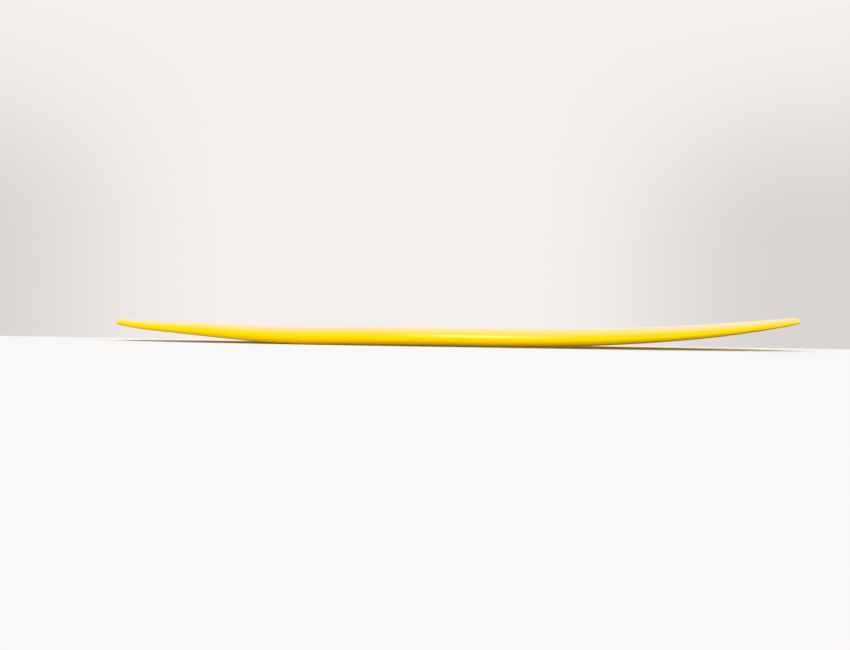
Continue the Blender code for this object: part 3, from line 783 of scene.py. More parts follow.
class BoardSkin:
    """Geometry Nodes tree that lays one laminate on the board's form.

    The grid's rows run from tail to nose, close together at both ends. Its columns run from one
    edge of the laminate round to the other. Both laminates share their rows, so that their edges
    meet along the lap line.
    """

    ROWS = 261
    WRAP_ROWS = 22  # rows at each tip that the deck laminate wraps right round
    CLOSING = 0.12  # length over which the lap line rounds off towards the tips
    DECK_POWERS = (2.4, 2.1)
    RAIL_POWER = 2.5
    RAIL_SHARE = 0.625  # share of the columns that lies on the deck
    SEAM_SHARE = 0.94  # share of the bottom's columns inside the lap line
    LAP_GAP = 0.0003
    FLANGE = 0.012
    MERGE = 0.00002

    def __init__(self, form: BoardForm, side: Side, columns: int) -> None:
        """Build the tree.

        Args:
            form: the board's sizes.
            side: which laminate.
            columns: columns of points across.
        """
        skipped = 0 if side is Side.DECK else self.WRAP_ROWS
        counts = {"rows": self.ROWS, "skipped rows": skipped, "wrap rows": self.WRAP_ROWS,
                  "columns": columns}
        self.recipe = Recipe(f"{side.value}_skin", {**counts, **form.inputs()})
        r = self.recipe
        rows_used = r.size("rows") - 2.0 * r.size("skipped rows")
        grid = r.add("GeometryNodeMeshGrid", Size_X=1.0, Size_Y=1.0, Vertices_X=rows_used,
                     Vertices_Y=r.size("columns"))
        place = r.add("ShaderNodeSeparateXYZ", Vector=r.add("GeometryNodeInputPosition").outputs[0])
        spans = r.size("rows") - 1.0
        first = r.size("skipped rows") / spans
        u = first + (Formula(r.tree, place.outputs[0]) + 0.5) * (1.0 - 2.0 * first)
        self.v = Formula(r.tree, place.outputs[1]) * 2.0
        self.from_tail = self.station(u)
        self.wrap = self.station(r.size("wrap rows") / spans)
        self.s = self.from_tail / r.size("length")
        self.shape_profile()
        self.shape_section()
        point, girth, lap = self.deck_point() if side is Side.DECK else self.bottom_point()
        laid = r.add("GeometryNodeSetPosition", Geometry=grid.outputs[0], Position=point).outputs[0]
        for name, value in (("lap", lap), ("off_centre", girth.absolute())):
            laid = self.store(laid, name, "FLOAT", "POINT", value)
        laid = self.store(laid, "UVMap", "FLOAT2", "CORNER", r.vector(self.from_tail, girth, 0.0))
        merged = r.add("GeometryNodeMergeByDistance", Geometry=laid, Distance=self.MERGE)
        r.close(merged.outputs[0])

    def station(self, u: Formula) -> Formula:
        """Distance from the tail of a row, at a share u of all the rows."""
        return (1.0 - (u * math.pi).cos()) * 0.5 * self.recipe.size("length")

    def store(self, geometry: Socket, name: str, kind: str, domain: str,
              value: object) -> Socket:
        """Keep a named value on the mesh."""
        node = self.recipe.add("GeometryNodeStoreNamedAttribute", {"data_type": kind, "domain": domain},
                               Geometry=geometry, Name=name)
        feed(self.recipe.tree, next(i for i in node.inputs if i.name == "Value" and i.enabled), value)
        return node.outputs[0]

    def shape_profile(self) -> None:
        """Rocker and foil along the board."""
        s, size = self.s, self.recipe.size
        bend = size("flat_from") - size("panel_to")
        turn = (size("flat_from") - s).between(0.0, bend)
        panel = (size("panel_to") - s).between(0.0, size("panel_to") - size("panel_from"))
        kick = (size("panel_from") - s).at_least(0.0)
        rise = size("panel_rise")
        lift = rise * (turn * turn * 0.5 / bend + panel + kick)
        lift = lift + (size("tail_tip_rise") - rise) * kick * kick * 0.5 / size("panel_from")
        nose_share = (s - size("flat_to")) / (1.0 - size("flat_to"))
        self.bottom = lift + size("nose_rocker") * nose_share ** size("nose_rocker_power")
        full, power = size("thickness"), size("foil_power")
        behind = (1.0 - s / size("thickest_at")) ** power
        ahead = ((s - size("thickest_at")) / (1.0 - size("thickest_at"))) ** power
        self.foil = (full - (full - size("tail_thickness")) * behind
                     - (full - size("nose_thickness")) * ahead)
        self.rounding: Number = 1.0
        self.from_nose = size("length") - self.from_tail
        for away, end in ((self.from_tail, "tail_thickness"), (self.from_nose, "nose_thickness")):
            inward = 1.0 - (away * 2.0 / size(end)).at_most(1.0)
            self.rounding = (1.0 - inward * inward) ** 0.5 * self.rounding

    def shape_section(self) -> None:
        """Outline, lap line, and the shares of the cross-section."""
        s, size = self.s, self.recipe.size
        nose = ((s - size("widest_at")) / (1.0 - size("widest_at"))).between(0.0, 1.0)
        tail = ((size("widest_at") - s) / size("widest_at")).at_least(0.0)
        half = size("width") * 0.5
        corner = (1.0 - self.from_tail / size("tail_corner")) ** size("tail_corner_power")
        narrowed = (1.0 - size("tail_block_half") / half) * tail ** size("tail_outline_power")
        self.half_width = (half * (1.0 - nose ** size("nose_outline_power")) ** 0.5 * (1.0 - narrowed)
                           * (1.0 - corner) ** (1.0 / size("tail_corner_power")))
        self.x = self.from_tail - size("length") * 0.5
        forward = s.smooth(0.05, size("flat_from"))
        apex_share = forward.mix(size("tail_apex_height"), size("apex_height"))
        flattening = s.smooth(size("panel_to"), size("flat_to"))
        flat_share = flattening.mix(size("tail_flat_width"), size("flat_width"))
        self.flat = self.half_width * flat_share * (1.0 - 0.9 * s.smooth(0.85, 1.0))
        self.apex = self.bottom + apex_share * self.foil
        self.below = apex_share * self.foil * self.rounding
        self.above = (1.0 - apex_share) * self.foil * self.rounding
        to_tip = self.from_tail.at_most(self.from_nose)
        rounding_off = ((to_tip - self.wrap) / self.CLOSING).between(0.0, 1.0)
        closing = (1.0 - (1.0 - rounding_off) * (1.0 - rounding_off)) ** 0.5
        self.edge = (self.half_width - size("lap") + 0.55 * self.below).at_least(0.0) * closing

    def bottom_height(self, across: Formula) -> Formula:
        """Height of the bottom at a distance from the centreline."""
        out = ((across - self.flat) / (self.half_width - self.flat).at_least(1e-6)).between(0.0, 1.0)
        return self.apex - self.below * (1.0 - out * out) ** (1.0 / self.RAIL_POWER)

    def deck_point(self) -> tuple[Socket, Formula, Formula]:
        """Position, girth and lap mask of the deck laminate, round both rails to the lap line."""
        side, share = self.v.sign(), self.v.absolute()
        deck_turn = (share / self.RAIL_SHARE).at_most(1.0) * (math.pi / 2)
        across, up = self.DECK_POWERS
        on_deck = self.half_width * deck_turn.sin() ** (2.0 / across)
        deck_z = self.apex + self.above * deck_turn.cos() ** (2.0 / up)
        beyond = ((share - self.RAIL_SHARE) / (1.0 - self.RAIL_SHARE)).between(0.0, 1.0)
        rail_turn = beyond * (math.pi / 2)
        on_rail = self.edge + (self.half_width - self.edge) * rail_turn.cos()
        low = share.above(self.RAIL_SHARE)
        y = low.mix(on_deck, on_rail)
        z = low.mix(deck_z, self.bottom_height(on_rail))
        girth = side * (low.mix(y, 2.0 * self.half_width - y) + self.apex + self.above - z)
        inside = self.half_width - self.recipe.size("lap")
        lap = low.mix((y - inside).smooth(0.0, 0.0015), 1.0)
        return self.recipe.vector(self.x, side * y, z), girth, lap

    def bottom_point(self) -> tuple[Socket, Formula, Formula]:
        """Position, girth and lap mask of the bottom laminate, its flange under the lap."""
        side, share = self.v.sign(), self.v.absolute()
        tuck = (self.edge * 0.5).at_most(self.FLANGE)
        hidden = ((share - self.SEAM_SHARE) / (1.0 - self.SEAM_SHARE)).between(0.0, 1.0)
        inside = (self.edge - self.LAP_GAP).at_least(0.0)
        y = inside * (share / self.SEAM_SHARE).at_most(1.0) + hidden * tuck
        z = self.bottom_height(y) + hidden.above(1e-4) * self.recipe.size("layer")
        return self.recipe.vector(self.x, side * y, z), side * y, 0.0 * y


@dataclass
class Laminates:
    """Both yellow laminates, with openings for the fittings."""

    form: BoardForm
    cloth: float = 0.0007
    deck_columns: int = 161
    bottom_columns: int = 101

    def build(self, finish: Material, pockets: dict[Side, list[Object]]) -> None:
        """Make both skins.

        Args:
            finish: the gloss resin.
            pockets: cutters for the openings in each skin.
        """
        for side, columns in ((Side.DECK, self.deck_columns), (Side.BOTTOM, self.bottom_columns)):
            skin = BoardSkin(self.form, side, columns).recipe.make(f"{side.value}_skin", finish)
            self.face_outwards(skin, side)
            shell = skin.modifiers.new("cloth", "SOLIDIFY")
            shell.thickness = self.cloth
            shell.offset = -1.0
            apply_modifiers(skin)
            for cutter in pockets[side]:
                carve(skin, cutter, keep_cutter=True)
            smooth_by_angle(skin, 40.0)
            install(skin, "board", "yellow_laminate", f"{side.value}_laminate")

    @staticmethod
    def face_outwards(skin: Object, side: Side) -> None:
        """Turn the sheet's faces out of the board: up on the deck, down on the bottom."""
        bm = bmesh.new()
        bm.from_mesh(skin.data)
        bmesh.ops.recalc_face_normals(bm, faces=bm.faces)
        middle = min(bm.faces, key=lambda f: f.calc_center_median().xy.length)
        if (middle.normal.z > 0) != (side is Side.DECK):
            bmesh.ops.reverse_faces(bm, faces=bm.faces)
        bm.to_mesh(skin.data)
        bm.free()


class Repeated:
    """A Geometry Nodes piece that is made again in different places."""

    recipe: Recipe

    def make(self, name: str, finish: Material, place: Matrix, **sizes: float) -> Object:
        """Make one in its place, facing outwards.

        Args:
            name: the piece's name.
            finish: its material.
            place: where it goes.
            sizes: inputs that differ from the recipe's own values.

        Returns:
            A plain mesh object.
        """
        raw = self.recipe.make(name, finish, sizes)
        bm = bmesh.new()
        bm.from_mesh(raw.data)
        bpy.data.objects.remove(raw, do_unlink=True)
        return from_bmesh(name, bm, place, finish)


class ThreadedRod(Repeated):
    """Geometry Nodes tree of a solid rod whose wall follows a helical thread."""

    def __init__(self) -> None:
        """Build the tree: a grid rolled into a tube, its two end rows drawn to the axis."""
        sizes = {"turn points": 41, "rows": 120, "radius": 0.0024, "length": 0.007,
                 "pitch": 0.0008, "depth": 0.0003, "chamfer": 0.0005}
        self.recipe = Recipe("threaded_rod", sizes)
        r = self.recipe
        grid = r.add("GeometryNodeMeshGrid", Size_X=1.0, Size_Y=1.0, Vertices_X=r.size("turn points"),
                     Vertices_Y=r.size("rows"))
        place = r.add("ShaderNodeSeparateXYZ", Vector=r.add("GeometryNodeInputPosition").outputs[0])
        turn = Formula(r.tree, place.outputs[0]) + 0.5
        row = (Formula(r.tree, place.outputs[1]) + 0.5) * (r.size("rows") - 1.0)
        height = ((row - 1.0) / (r.size("rows") - 3.0)).between(0.0, 1.0) * r.size("length")
        wave = (height / r.size("pitch") - turn + 100.0).fraction()
        crest = ((wave - 0.5).absolute() * 2.6).between(0.15, 1.0)
        to_end = height.at_most(r.size("length") - height)
        narrow = (r.size("chamfer") - to_end).at_least(0.0)
        wall = r.size("radius") - (r.size("depth") * crest).at_least(narrow)
        solid = row.above(0.5) * (1.0 - row.above(r.size("rows") - 1.5))
        angle = turn * (2.0 * math.pi)
        point = r.vector(angle.cos() * wall * solid, angle.sin() * wall * solid, height)
        rolled = r.add("GeometryNodeSetPosition", Geometry=grid.outputs[0], Position=point)
        closed = r.add("GeometryNodeMergeByDistance", Geometry=rolled.outputs[0], Distance=1e-6)
        r.close(closed.outputs[0])


class TickRow(Repeated):
    """Geometry Nodes tree of a row of small raised ticks, every fifth one longer."""

    def __init__(self) -> None:
        """Build the tree: one rounded bar, instanced along a line."""
        self.recipe = Recipe("tick_row", {"count": 11, "spacing": 0.010, "width": 0.0007, "length": 0.0022,
                                          "height": 0.0003})
        r = self.recipe
        line = r.add("GeometryNodeMeshLine", Count=r.size("count"),
                     Offset=r.vector(r.size("spacing"), 0.0, 0.0))
        block = r.vector(r.size("width"), r.size("length"), r.size("height"))
        bar = r.add("GeometryNodeMeshCube", Size=block)
        number = Formula(r.tree, r.add("GeometryNodeInputIndex").outputs[0])
        long = 1.0 - (number.node("MODULO", number, 5.0)).above(0.5)
        many = r.add("GeometryNodeInstanceOnPoints", Points=line.outputs[0], Instance=bar.outputs[0],
                     Scale=r.vector(1.0, 1.0 + 0.6 * long, 1.0))
        r.close(many.outputs[0])


def moulded_block(outline: Callable[[float], Outline], depth: float, flush: float,
                  radius: float, groove: Optional[tuple[float, float, float]] = None) -> Solid:
    """A block with rounded rims and a shallow groove round its face.

    Args:
        outline: gives the outline drawn in by an inset.
        depth: how deep the block reaches.
        flush: how far its face lies below the surface.
        radius: of the rim's rounding.
        groove: inset, width and depth of the groove, if there is one.

    Returns:
        The solid, in the fitting's own frame.
    """
    arc = [math.radians(a) for a in (0, 22.5, 45, 67.5, 90)]
    profile = [(radius * (1 - math.cos(a)), -depth + radius * (1 - math.sin(a))) for a in reversed(arc)]
    profile += [(radius * (1 - math.cos(a)), -flush - radius * (1 - math.sin(a))) for a in arc]
    if groove:
        inset, width, deep = groove
        slope = width / 4
        profile += [(inset, -flush), (inset + slope, -flush - deep),
                    (inset + width - slope, -flush - deep), (inset + width, -flush)]
    return rings_solid([[(x, y, z) for x, y in outline(inset)] for inset, z in profile])


def rounded(length: float, width: float, radius: float, count: int = 6) -> Outline:
    """A rectangle with rounded corners."""
    points = []
    for quarter, (sx, sy) in enumerate(((1, 1), (-1, 1), (-1, -1), (1, -1))):
        for i in range(count + 1):
            turn = math.pi / 2 * (quarter + i / count)
            points.append((sx * (length / 2 - radius) + radius * math.cos(turn),
                           sy * (width / 2 - radius) + radius * math.sin(turn)))
    return points


def inset_stadium(length: float, width: float) -> Callable[[float], Outline]:
    """A stadium that can be drawn in by an inset."""
    return lambda inset: stadium(length - 2 * inset, width - 2 * inset)


def opening(name: str, outline: Outline, place: Matrix) -> Object:
    """Cutter for a fitting's opening in a skin."""
    return from_bmesh(name, prism(outline, -POCKET_REACH, POCKET_REACH), place)


def flared_slot(outline: Callable[[float], Outline], depth: float, flush: float,
                mouth: float) -> Solid:
    """A slot's cutter, whose mouth widens at the face.

    Args:
        outline: gives the slot's outline drawn in by an inset, or widened by a negative one.
        depth: how deep the slot reaches.
        flush: how far the face lies below the surface.
        mouth: how much the mouth widens to each side.

    Returns:
        The solid, in the fitting's own frame.
    """
    rings = [(0.0, -depth), (0.0, -flush - 1.5 * mouth), (-mouth, -flush + SLIVER),
             (-mouth, CUT_ABOVE)]
    return rings_solid([[(x, y, z) for x, y in outline(inset)] for inset, z in rings])


@dataclass
class FinBox:
    """Centre fin box: moulded cassette, sliding plate nut and its screw."""

    from_tail_mount: float = -0.090  # where the mount lies in the box's own frame
    off_mount: float = 0.0088
    flush: float = 0.0002
    size: tuple[float, float, float] = (0.267, 0.0254, 0.027)
    slot: tuple[float, float, float] = (0.251, 0.0098, 0.021)
    channel_width: float = 0.0158
    channel_depths: tuple[float, float] = (0.0085, 0.0125)
    channel_shorter: float = 0.001
    channel_corner: float = 0.0004
    entry: tuple[float, float] = (0.018, 0.0162)
    entry_step: float = 0.0005
    mouth: float = 0.0006
    rim: float = 0.0008
    groove: tuple[float, float, float] = (0.0018, 0.0006, 0.0003)
    plate: tuple[float, float, float] = (0.009, 0.015, 0.0032)
    plate_at: float = 0.060
    shank: tuple[float, float, float] = (0.0019, 0.014, 0.0008)
    head: tuple[float, float, float] = (0.0037, 0.0026, 0.0022)
    tick_starts: tuple[float, float] = (-0.120, 0.020)  # clear of the plate's way in
    tick_aside: float = 0.0083
    gap: float = 0.0003

    def frame(self) -> Matrix:
        """The box's own frame, from its mount."""
        point, out = mount("fin_box_face")
        own = axes(point, out, Vector((1, 0, 0)))
        return own @ Matrix.Translation((-self.from_tail_mount, -self.off_mount, self.flush))

    def pocket(self) -> Object:
        """Cutter for the opening in the bottom skin."""
        length, width, _ = self.size
        room = 2 * self.gap
        return opening("fin_box_opening", stadium(length + room, width + room), self.frame())

    def build(self, plastic: Material, steel: Material, rod: ThreadedRod,
              ticks: TickRow) -> None:
        """Make the cassette, plate nut and screw."""
        place = self.frame()
        length, width, depth = self.size
        block = moulded_block(inset_stadium(length, width), depth, self.flush, self.rim, self.groove)
        box = from_bmesh("fin_box_moulding", block, place, plastic)
        for solid in self.hollows():
            carve(box, from_bmesh("hollow", solid, place))
        smooth_by_angle(box)
        starts = [(start, side * self.tick_aside, -self.flush)
                  for side in (-1, 1) for start in self.tick_starts]
        rows = [ticks.make("ticks", plastic, place @ Matrix.Translation(start)) for start in starts]
        install(join("fin_box_moulding", [box, *rows]), "board", "fitting_plastic", "fin_box")
        self.build_plate(place, steel)
        self.build_screw(place, steel, rod)

    def hollows(self) -> list[Solid]:
        """Cutters of the slot with its flared mouth, the channel and the plate's way in."""
        length, width, depth = self.slot
        slot = flared_slot(inset_stadium(length, width), depth, self.flush, self.mouth)
        top, bottom = self.channel_depths
        channel = prism(rounded(length - self.channel_shorter, self.channel_width, self.channel_corner),
                        -bottom, -top)
        entry = prism(stadium(self.entry[0], self.entry[1]), -bottom + self.entry_step, CUT_ABOVE)
        return [slot, channel, entry]

    def build_plate(self, place: Matrix, steel: Material) -> None:
        """The plate nut in the channel."""
        length, width, height = self.plate
        middle = place @ Matrix.Translation((self.plate_at, 0, -sum(self.channel_depths) / 2))
        slab = prism(rectangle(length, width), -height / 2, height / 2)
        plate = from_bmesh("plate_nut", slab, middle, steel)
        round_edges(plate, 0.0006, 3)
        bore, reach = self.shank[0] + self.gap, height / 2
        flare = [(bore + 0.0006, -reach - 0.0001), (bore, -reach + 0.0005), (bore, reach - 0.0005),
                 (bore + 0.0006, reach + 0.0001)]
        carve(plate, from_bmesh("plate_bore", turned(flare, 40), middle))
        install(smooth_by_angle(plate), "plate_nut", "stainless", "fin_plate_nut")

    def build_screw(self, place: Matrix, steel: Material, rod: ThreadedRod) -> None:
        """The pan head screw that clamps a fin."""
        radius, length, pitch = self.shank
        wide, high, deep = self.head
        under = -deep - high
        here = place @ Matrix.Translation((self.plate_at, 0, 0))
        screw = rod.make("fin_clamp_screw", steel, here @ Matrix.Translation((0, 0, under - length)),
                         radius=radius, length=length + 0.0004, pitch=pitch, depth=0.0003)
        bend = [math.radians(a) for a in range(0, 91, 15)]
        profile = [(radius * 0.9, under), (wide - 0.0002, under), (wide, under + 0.0003)]
        profile += [(wide - 0.0013 * (1 - math.cos(a)), under + 0.0009 + 0.0017 * math.sin(a))
                    for a in bend]
        profile += [(0.0012, -deep), (0.0003, -deep)]
        head = from_bmesh("head", turned(profile, 48), here, steel)
        for number, (a, b) in enumerate(((0.0042, 0.0009), (0.0009, 0.0042))):
            taper = rings_solid([[(x, y, z) for x, y in rectangle(a * k, b * m)]
                                 for k, m, z in ((0.55, 0.75, -deep - 0.0015),
                                                 (1.0, 1.0, -deep + 0.0002))])
            carve(head, from_bmesh(f"recess_{number}", taper, here))
        smooth_by_angle(screw, 50)
        smooth_by_angle(head)
        install(join("fin_clamp_screw", [screw, head]), "fin_screw", "stainless", "fin_screw")


@dataclass
class SidePlugs:
    """Four plugs for the two side fins, each with its grub screw."""

    size: tuple[float, float, float] = (0.030, 0.023, 0.0155)
    slot: tuple[float, float, float] = (0.0205, 0.0060, 0.013)
    slot_offset: float = 0.0045
    slot_corner: float = 0.0008
    mount_ahead: float = 0.0125
    flush: float = 0.0002
    rim: float = 0.0007
    groove: tuple[float, float, float] = (0.0012, 0.0006, 0.0003)
    mouth: float = 0.0005
    gap: float = 0.0003
    grub: tuple[float, float, float] = (0.0024, 0.0070, 0.0008)
    hex_radius: float = 0.00145
    hex_depth: float = 0.0030
    thread_depth: float = 0.0003
    chamfer: float = 0.0006
    hole_below: float = 0.003
    hole_reach: float = 0.012
    sink: float = 0.0009  # how far the hole's countersink widens it
    sink_from: float = 0.0004
    sink_to: float = 0.0013
    names: tuple[str, ...] = ("left_front", "left_rear", "right_front", "right_rear")

    def frame(self, name: str) -> Matrix:
        """A plug's own frame: forward from its side's rear plug to its front plug."""
        side = name.split("_")[0]
        front, out = mount(f"side_fin_face_{side}_front")
        rear, _ = mount(f"side_fin_face_{side}_rear")
        point, _ = mount(f"side_fin_face_{name}")
        own = axes(point, out, front - rear)
        return own @ Matrix.Translation((-self.mount_ahead, 0, self.flush))

    def pockets(self) -> list[Object]:
        """Cutters for the openings in both skins."""
        length, width, _ = self.size
        room = 2 * self.gap
        return [opening(f"opening_{name}", stadium(length + room, width + room), self.frame(name))
                for name in self.names]

    def build(self, plastic: Material, steel: Material, rod: ThreadedRod) -> None:
        """Make the plugs and their screws."""
        for name in self.names:
            self.build_plug(name, plastic)
            self.build_grub(name, steel, rod)

    def grub_frame(self, name: str) -> Matrix:
        """Frame of a grub screw at its middle, from its joint."""
        point, axis = joint(f"grub_turn_{name}")
        return axes(point, axis, Vector((1, 0, 0)))

    def build_plug(self, name: str, plastic: Material) -> None:
        """One plug, with a flared tab slot and a countersunk screw hole."""
        place = self.frame(name)
        length, width, depth = self.size
        block = moulded_block(inset_stadium(length, width), depth, self.flush, self.rim, self.groove)
        plug = from_bmesh(f"plug_{name}", block, place, plastic)
        inward = self.slot_offset if name.startswith("left") else -self.slot_offset

        def tab_outline(inset: float) -> Outline:
            """The tab slot's outline, off the plug's middle."""
            length, width, _ = self.slot
            corners = rounded(length - 2 * inset, width - 2 * inset, self.slot_corner)
            return [(x, y + inward) for x, y in corners]

        slot = flared_slot(tab_outline, self.slot[2], self.flush, self.mouth)
        carve(plug, from_bmesh("tab_slot", slot, place))
        bore, half = self.grub[0] + self.gap, self.grub[1] / 2
        hole = [(bore, -half - self.hole_below), (bore, half + self.sink_from),
                (bore + self.sink, half + self.sink_to), (bore + self.sink, self.hole_reach)]
        carve(plug, from_bmesh("grub_hole", turned(hole, 40), self.grub_frame(name)))
        install(smooth_by_angle(plug), "board", "fitting_plastic", f"side_plug_{name}")

    def build_grub(self, name: str, steel: Material, rod: ThreadedRod) -> None:
        """One headless screw with a hexagon socket."""
        radius, length, pitch = self.grub
        place = self.grub_frame(name)
        screw = rod.make(f"grub_{name}", steel, place @ Matrix.Translation((0, 0, -length / 2)),
                         radius=radius, length=length, pitch=pitch, depth=self.thread_depth,
                         chamfer=self.chamfer)
        top, flare = length / 2, 0.0003
        levels = [(0.35, top - self.hex_depth - 0.0005), (1.0, top - self.hex_depth),
                  (1.0, top - flare), (1.25, top + SLIVER)]
        hexagon = rings_solid([[(x * k, y * k, z) for x, y in circle(self.hex_radius, 6)]
                               for k, z in levels])
        carve(screw, from_bmesh("socket", hexagon, place))
        install(smooth_by_angle(screw, 50), f"grub_{name}", "stainless", f"grub_screw_{name}")


def join(name: str, objects: Sequence[Object]) -> Object:
    """Put several meshes into the first object."""
    bm = bmesh.new()
    first = objects[0]
    for obj in objects:
        bm.from_mesh(obj.data)
    bm.to_mesh(first.data)
    bm.free()
    for obj in objects[1:]:
        bpy.data.objects.remove(obj, do_unlink=True)
    first.name = name
    return first


@dataclass
class LeashPlug:
    """Round cup in the deck, with a steel bar across it."""

    mount_ahead: float = 0.0162
    flush: float = 0.0002
    radius: float = 0.019
    depth: float = 0.017
    bore: float = 0.0135
    bore_depth: float = 0.013
    rim: float = 0.0008
    lip: float = 0.0012
    floor_fillet: float = 0.003
    pin_radius: float = 0.0024
    pin_depth: float = 0.0055
    pin_length: float = 0.033
    gap: float = 0.0003

    def frame(self) -> Matrix:
        """The cup's own frame, from its mount."""
        point, out = mount("leash_rim")
        own = axes(point, out, Vector((1, 0, 0)))
        return own @ Matrix.Translation((-self.mount_ahead, 0, self.flush))

    def pocket(self) -> Object:
        """Cutter for the opening in the deck skin."""
        return opening("leash_opening", circle(self.radius + self.gap, 96), self.frame())

    def build(self, plastic: Material, steel: Material) -> None:
        """Make the cup and the bar."""
        place = self.frame()
        arc = [math.radians(a) for a in range(0, 91, 15)]
        top, floor = -self.flush, -self.bore_depth
        profile = [(self.radius - self.rim, -self.depth), (self.radius, -self.depth + self.rim)]
        profile += [(self.radius - self.rim * (1 - math.cos(a)), top - self.rim * (1 - math.sin(a)))
                    for a in arc]
        profile += [(self.radius - 0.0020, top), (self.radius - 0.0022, top - 0.0003),
                    (self.radius - 0.0027, top - 0.0003), (self.radius - 0.0029, top)]
        profile += [(self.bore + self.lip * (1 - math.sin(a)), top - self.lip * (1 - math.cos(a)))
                    for a in arc]
        bend = self.floor_fillet
        profile += [(self.bore - bend * (1 - math.cos(a)), floor + bend * (1 - math.sin(a)))
                    for a in arc]
        profile += [(0.006, floor), (0.0005, floor)]
        cup = from_bmesh("leash_cup_moulding", turned(profile, 96), place, plastic)
        lowered = place @ Matrix.Translation((0, 0, -self.pin_depth))
        across = lowered @ Matrix.Rotation(math.pi / 2, 4, "X")
        reach = self.pin_length / 2
        seat = prism(circle(self.pin_radius + self.gap, 40), -reach - self.gap, reach + self.gap)
        carve(cup, from_bmesh("seat", seat, across))
        install(smooth_by_angle(cup), "board", "fitting_plastic", "leash_cup")
        bar = [(self.pin_radius - 0.0004, -reach), (self.pin_radius, -reach + 0.0004),
               (self.pin_radius, reach - 0.0004), (self.pin_radius - 0.0004, reach)]
        pin = from_bmesh("leash_bar", turned(bar, 48), across, steel)
        install(smooth_by_angle(pin), "board", "stainless", "leash_pin")


@dataclass
class Core:
    """The hidden layers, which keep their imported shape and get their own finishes."""

    finishes: dict[str, Material] = field(default_factory=dict)

    def dress(self) -> None:
        """Put each finish on its node."""
        for node, finish in self.finishes.items():
            mesh = frame["nodes"][node].data
            mesh.materials.clear()
            mesh.materials.append(finish)
            LOG.info("%s: keeps its packed shape, finish %s", node, finish.name)


@dataclass
class Lamp:
    """A very soft far-off light, which is not mirrored."""

    name: str
    height: float  # degrees above the floor, on the camera's side
    power: float
    softness: float = 100.0

    def build(self) -> None:
        """Hang the light."""
        light = bpy.data.lights.new(self.name, "SUN")
        light.energy = self.power
        light.angle = math.radians(self.softness)
        lamp = bpy.data.objects.new(self.name, light)
        lamp.rotation_euler = (math.radians(90.0 - self.height), 0.0, 0.0)
        lamp.visible_glossy = False
        bpy.context.collection.objects.link(lamp)


@dataclass
class Surroundings:
    """A pale room: even for soft light, with painted shade towards its sides where the eye sees it, and shaped
    where polish mirrors it.

    Polish sees a white wall behind the board, up to a height, a brighter patch in its middle, and
    a darker room above and in front.
    """

    wall: Colour = (0.913, 0.871, 0.847)
    wall_top: tuple[float, float] = (25.0, 75.0)  # degrees over which the wall ends
    wall_foot: tuple[float, float] = (-8.0, -1.0)
    dark: float = 0.02
    patch_aside: float = 3.3
    patch_width: float = 4.0
    patch_rise: tuple[float, float] = (42.0, 66.0)
    patch_fall: tuple[float, float] = (78.0, 94.0)
    patch_power: float = 4.5
    bright_aside: float = -3.0
    shade_from: tuple[float, float] = (10.0, 27.0)
    shade_ends: tuple[float, float] = (0.1, 0.35)
    side_shade: float = 0.24

    def build(self) -> bpy.types.World:
        """Make the world."""
        world = bpy.data.worlds.new("surroundings")
        world.use_nodes = True
        tree = world.node_tree
        ground = tree.nodes["Background"]
        ground.inputs["Color"].default_value = (*self.wall, 1.0)
        place = add_node(tree, "ShaderNodeTexCoord").outputs["Generated"]
        split = add_node(tree, "ShaderNodeSeparateXYZ", Vector=place)
        x, y, z = (Formula(tree, o) for o in split.outputs)
        degrees = 180.0 / math.pi
        height = z.node("ARCTAN2", z, y) * degrees
        aside = x.node("ARCSINE", x) * degrees
        start, end = self.wall_top
        lit = (1.0 - height.smooth(start, end)) * height.smooth(*self.wall_foot)
        room = lit.mix(self.dark, 1.0)
        off = (aside - self.patch_aside) / self.patch_width
        spread = off.node("EXPONENT", 0.0 - off * off)
        upright = height.smooth(*self.patch_rise) * (1.0 - height.smooth(*self.patch_fall))
        mirrored = room + self.patch_power * spread * upright
        # Painted shade: what the camera sees of the room darkens towards the sides near level; soft light and
        # polish are not darkened.
        level = 1.0 - z.absolute().smooth(*self.shade_ends)
        to_side = (aside - self.bright_aside).absolute().smooth(*self.shade_from)
        seen = 1.0 - self.side_shade * level * to_side
        path = add_node(tree, "ShaderNodeLightPath").outputs
        polish, eye = (Formula(tree, path[kind]) for kind in ("Is Glossy Ray", "Is Camera Ray"))
        feed(tree, ground.inputs["Strength"], polish.mix(eye.mix(1.0, seen), mirrored))
        return world


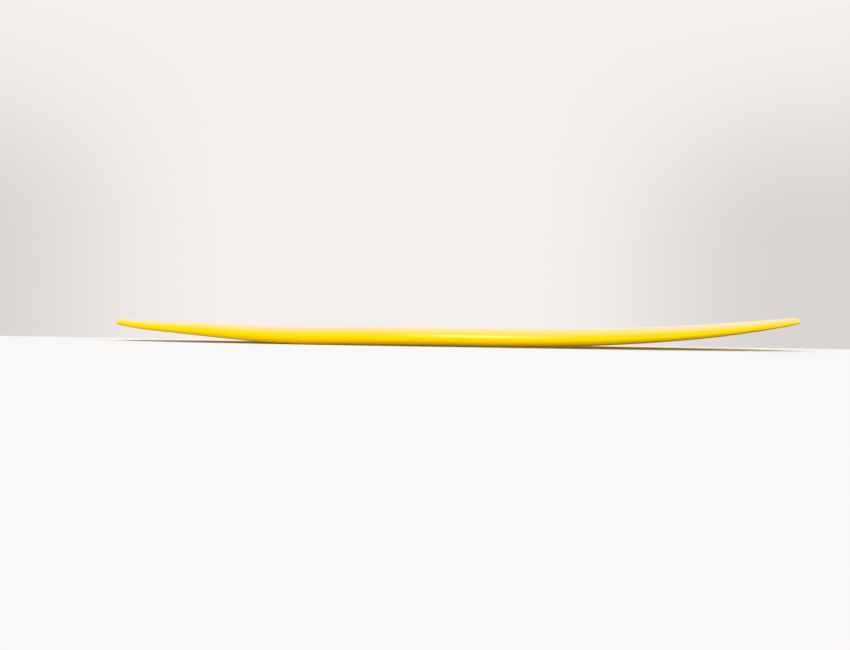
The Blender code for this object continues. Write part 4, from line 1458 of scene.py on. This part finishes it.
@dataclass
class Studio:
    """Pale floor, pale surroundings, one soft light and the camera."""

    floor_reach: float = 20.0
    wall_behind: float = 0.50
    floor_colour: Colour = (0.69, 0.695, 0.705)
    lens: float = 35.0
    sensor: float = 36.0
    distance: float = 3.34
    eye_height: float = 0.075
    aim_across: float = -0.136
    pitch: float = math.radians(0.10)
    roll: float = math.radians(0.904)
    lamps: tuple[Lamp, ...] = (Lamp("front", 56.0, 1.8),)

    def build(self) -> None:
        """Make the floor, the surroundings, the light and the camera."""
        low, _ = (Vector(corner) for corner in CAD_BOX)
        reach = self.floor_reach
        sheet = bpy.data.meshes.new("floor")
        edge = self.wall_behind
        corners = ((-reach, -reach), (reach, -reach), (reach, edge), (-reach, edge))
        sheet.from_pydata([(x, y, low.z - SLIVER) for x, y in corners], [], [(0, 1, 2, 3)])
        sheet.materials.append(PlainStage("floor_matt", self.floor_colour).build())
        floor = bpy.data.objects.new("floor", sheet)
        bpy.context.collection.objects.link(floor)
        bpy.context.scene.world = Surroundings().build()
        for lamp in self.lamps:
            lamp.build()
        bpy.context.scene.view_settings.view_transform = "Standard"
        self.camera()

    def camera(self) -> None:
        """Put the camera low in front of the board, looking across it."""
        data = bpy.data.cameras.new("camera")
        data.lens, data.sensor_width = self.lens, self.sensor
        eye = bpy.data.objects.new("camera", data)
        bpy.context.collection.objects.link(eye)
        eye.rotation_mode = "XYZ"
        turn = Matrix.Rotation(math.pi / 2 + self.pitch, 3, "X") @ Matrix.Rotation(self.roll, 3, "Z")
        eye.rotation_euler = turn.to_euler()
        eye.location = (self.aim_across, -self.distance, self.eye_height)
        bpy.context.scene.camera = eye


def main() -> None:
    """Build the board's looks and the studio."""
    logging.basicConfig(level=logging.INFO, format="%(name)s: %(message)s")
    plastic, steel = MouldedPlastic().build(), Steel().build()
    box, plugs, leash = FinBox(), SidePlugs(), LeashPlug()
    cutters = plugs.pockets()
    pockets = {Side.DECK: [leash.pocket(), *cutters], Side.BOTTOM: [box.pocket(), *cutters]}
    Laminates(BoardForm()).build(GlossResin().build(), pockets)
    for cutter in {c for group in pockets.values() for c in group}:
        bpy.data.objects.remove(cutter, do_unlink=True)
    rod = ThreadedRod()
    box.build(plastic, steel, rod, TickRow())
    plugs.build(plastic, steel, rod)
    leash.build(plastic, steel)
    foam, cloth = Foam().build(), GlassCloth().build()
    Core({"foam_left": foam, "foam_right": foam, "stringer": StringerWood().build(),
          "deck_inner_cloth": cloth, "fin_box_patch": cloth}).dress()
    Studio().build()


if __name__ == "__main__":
    main()
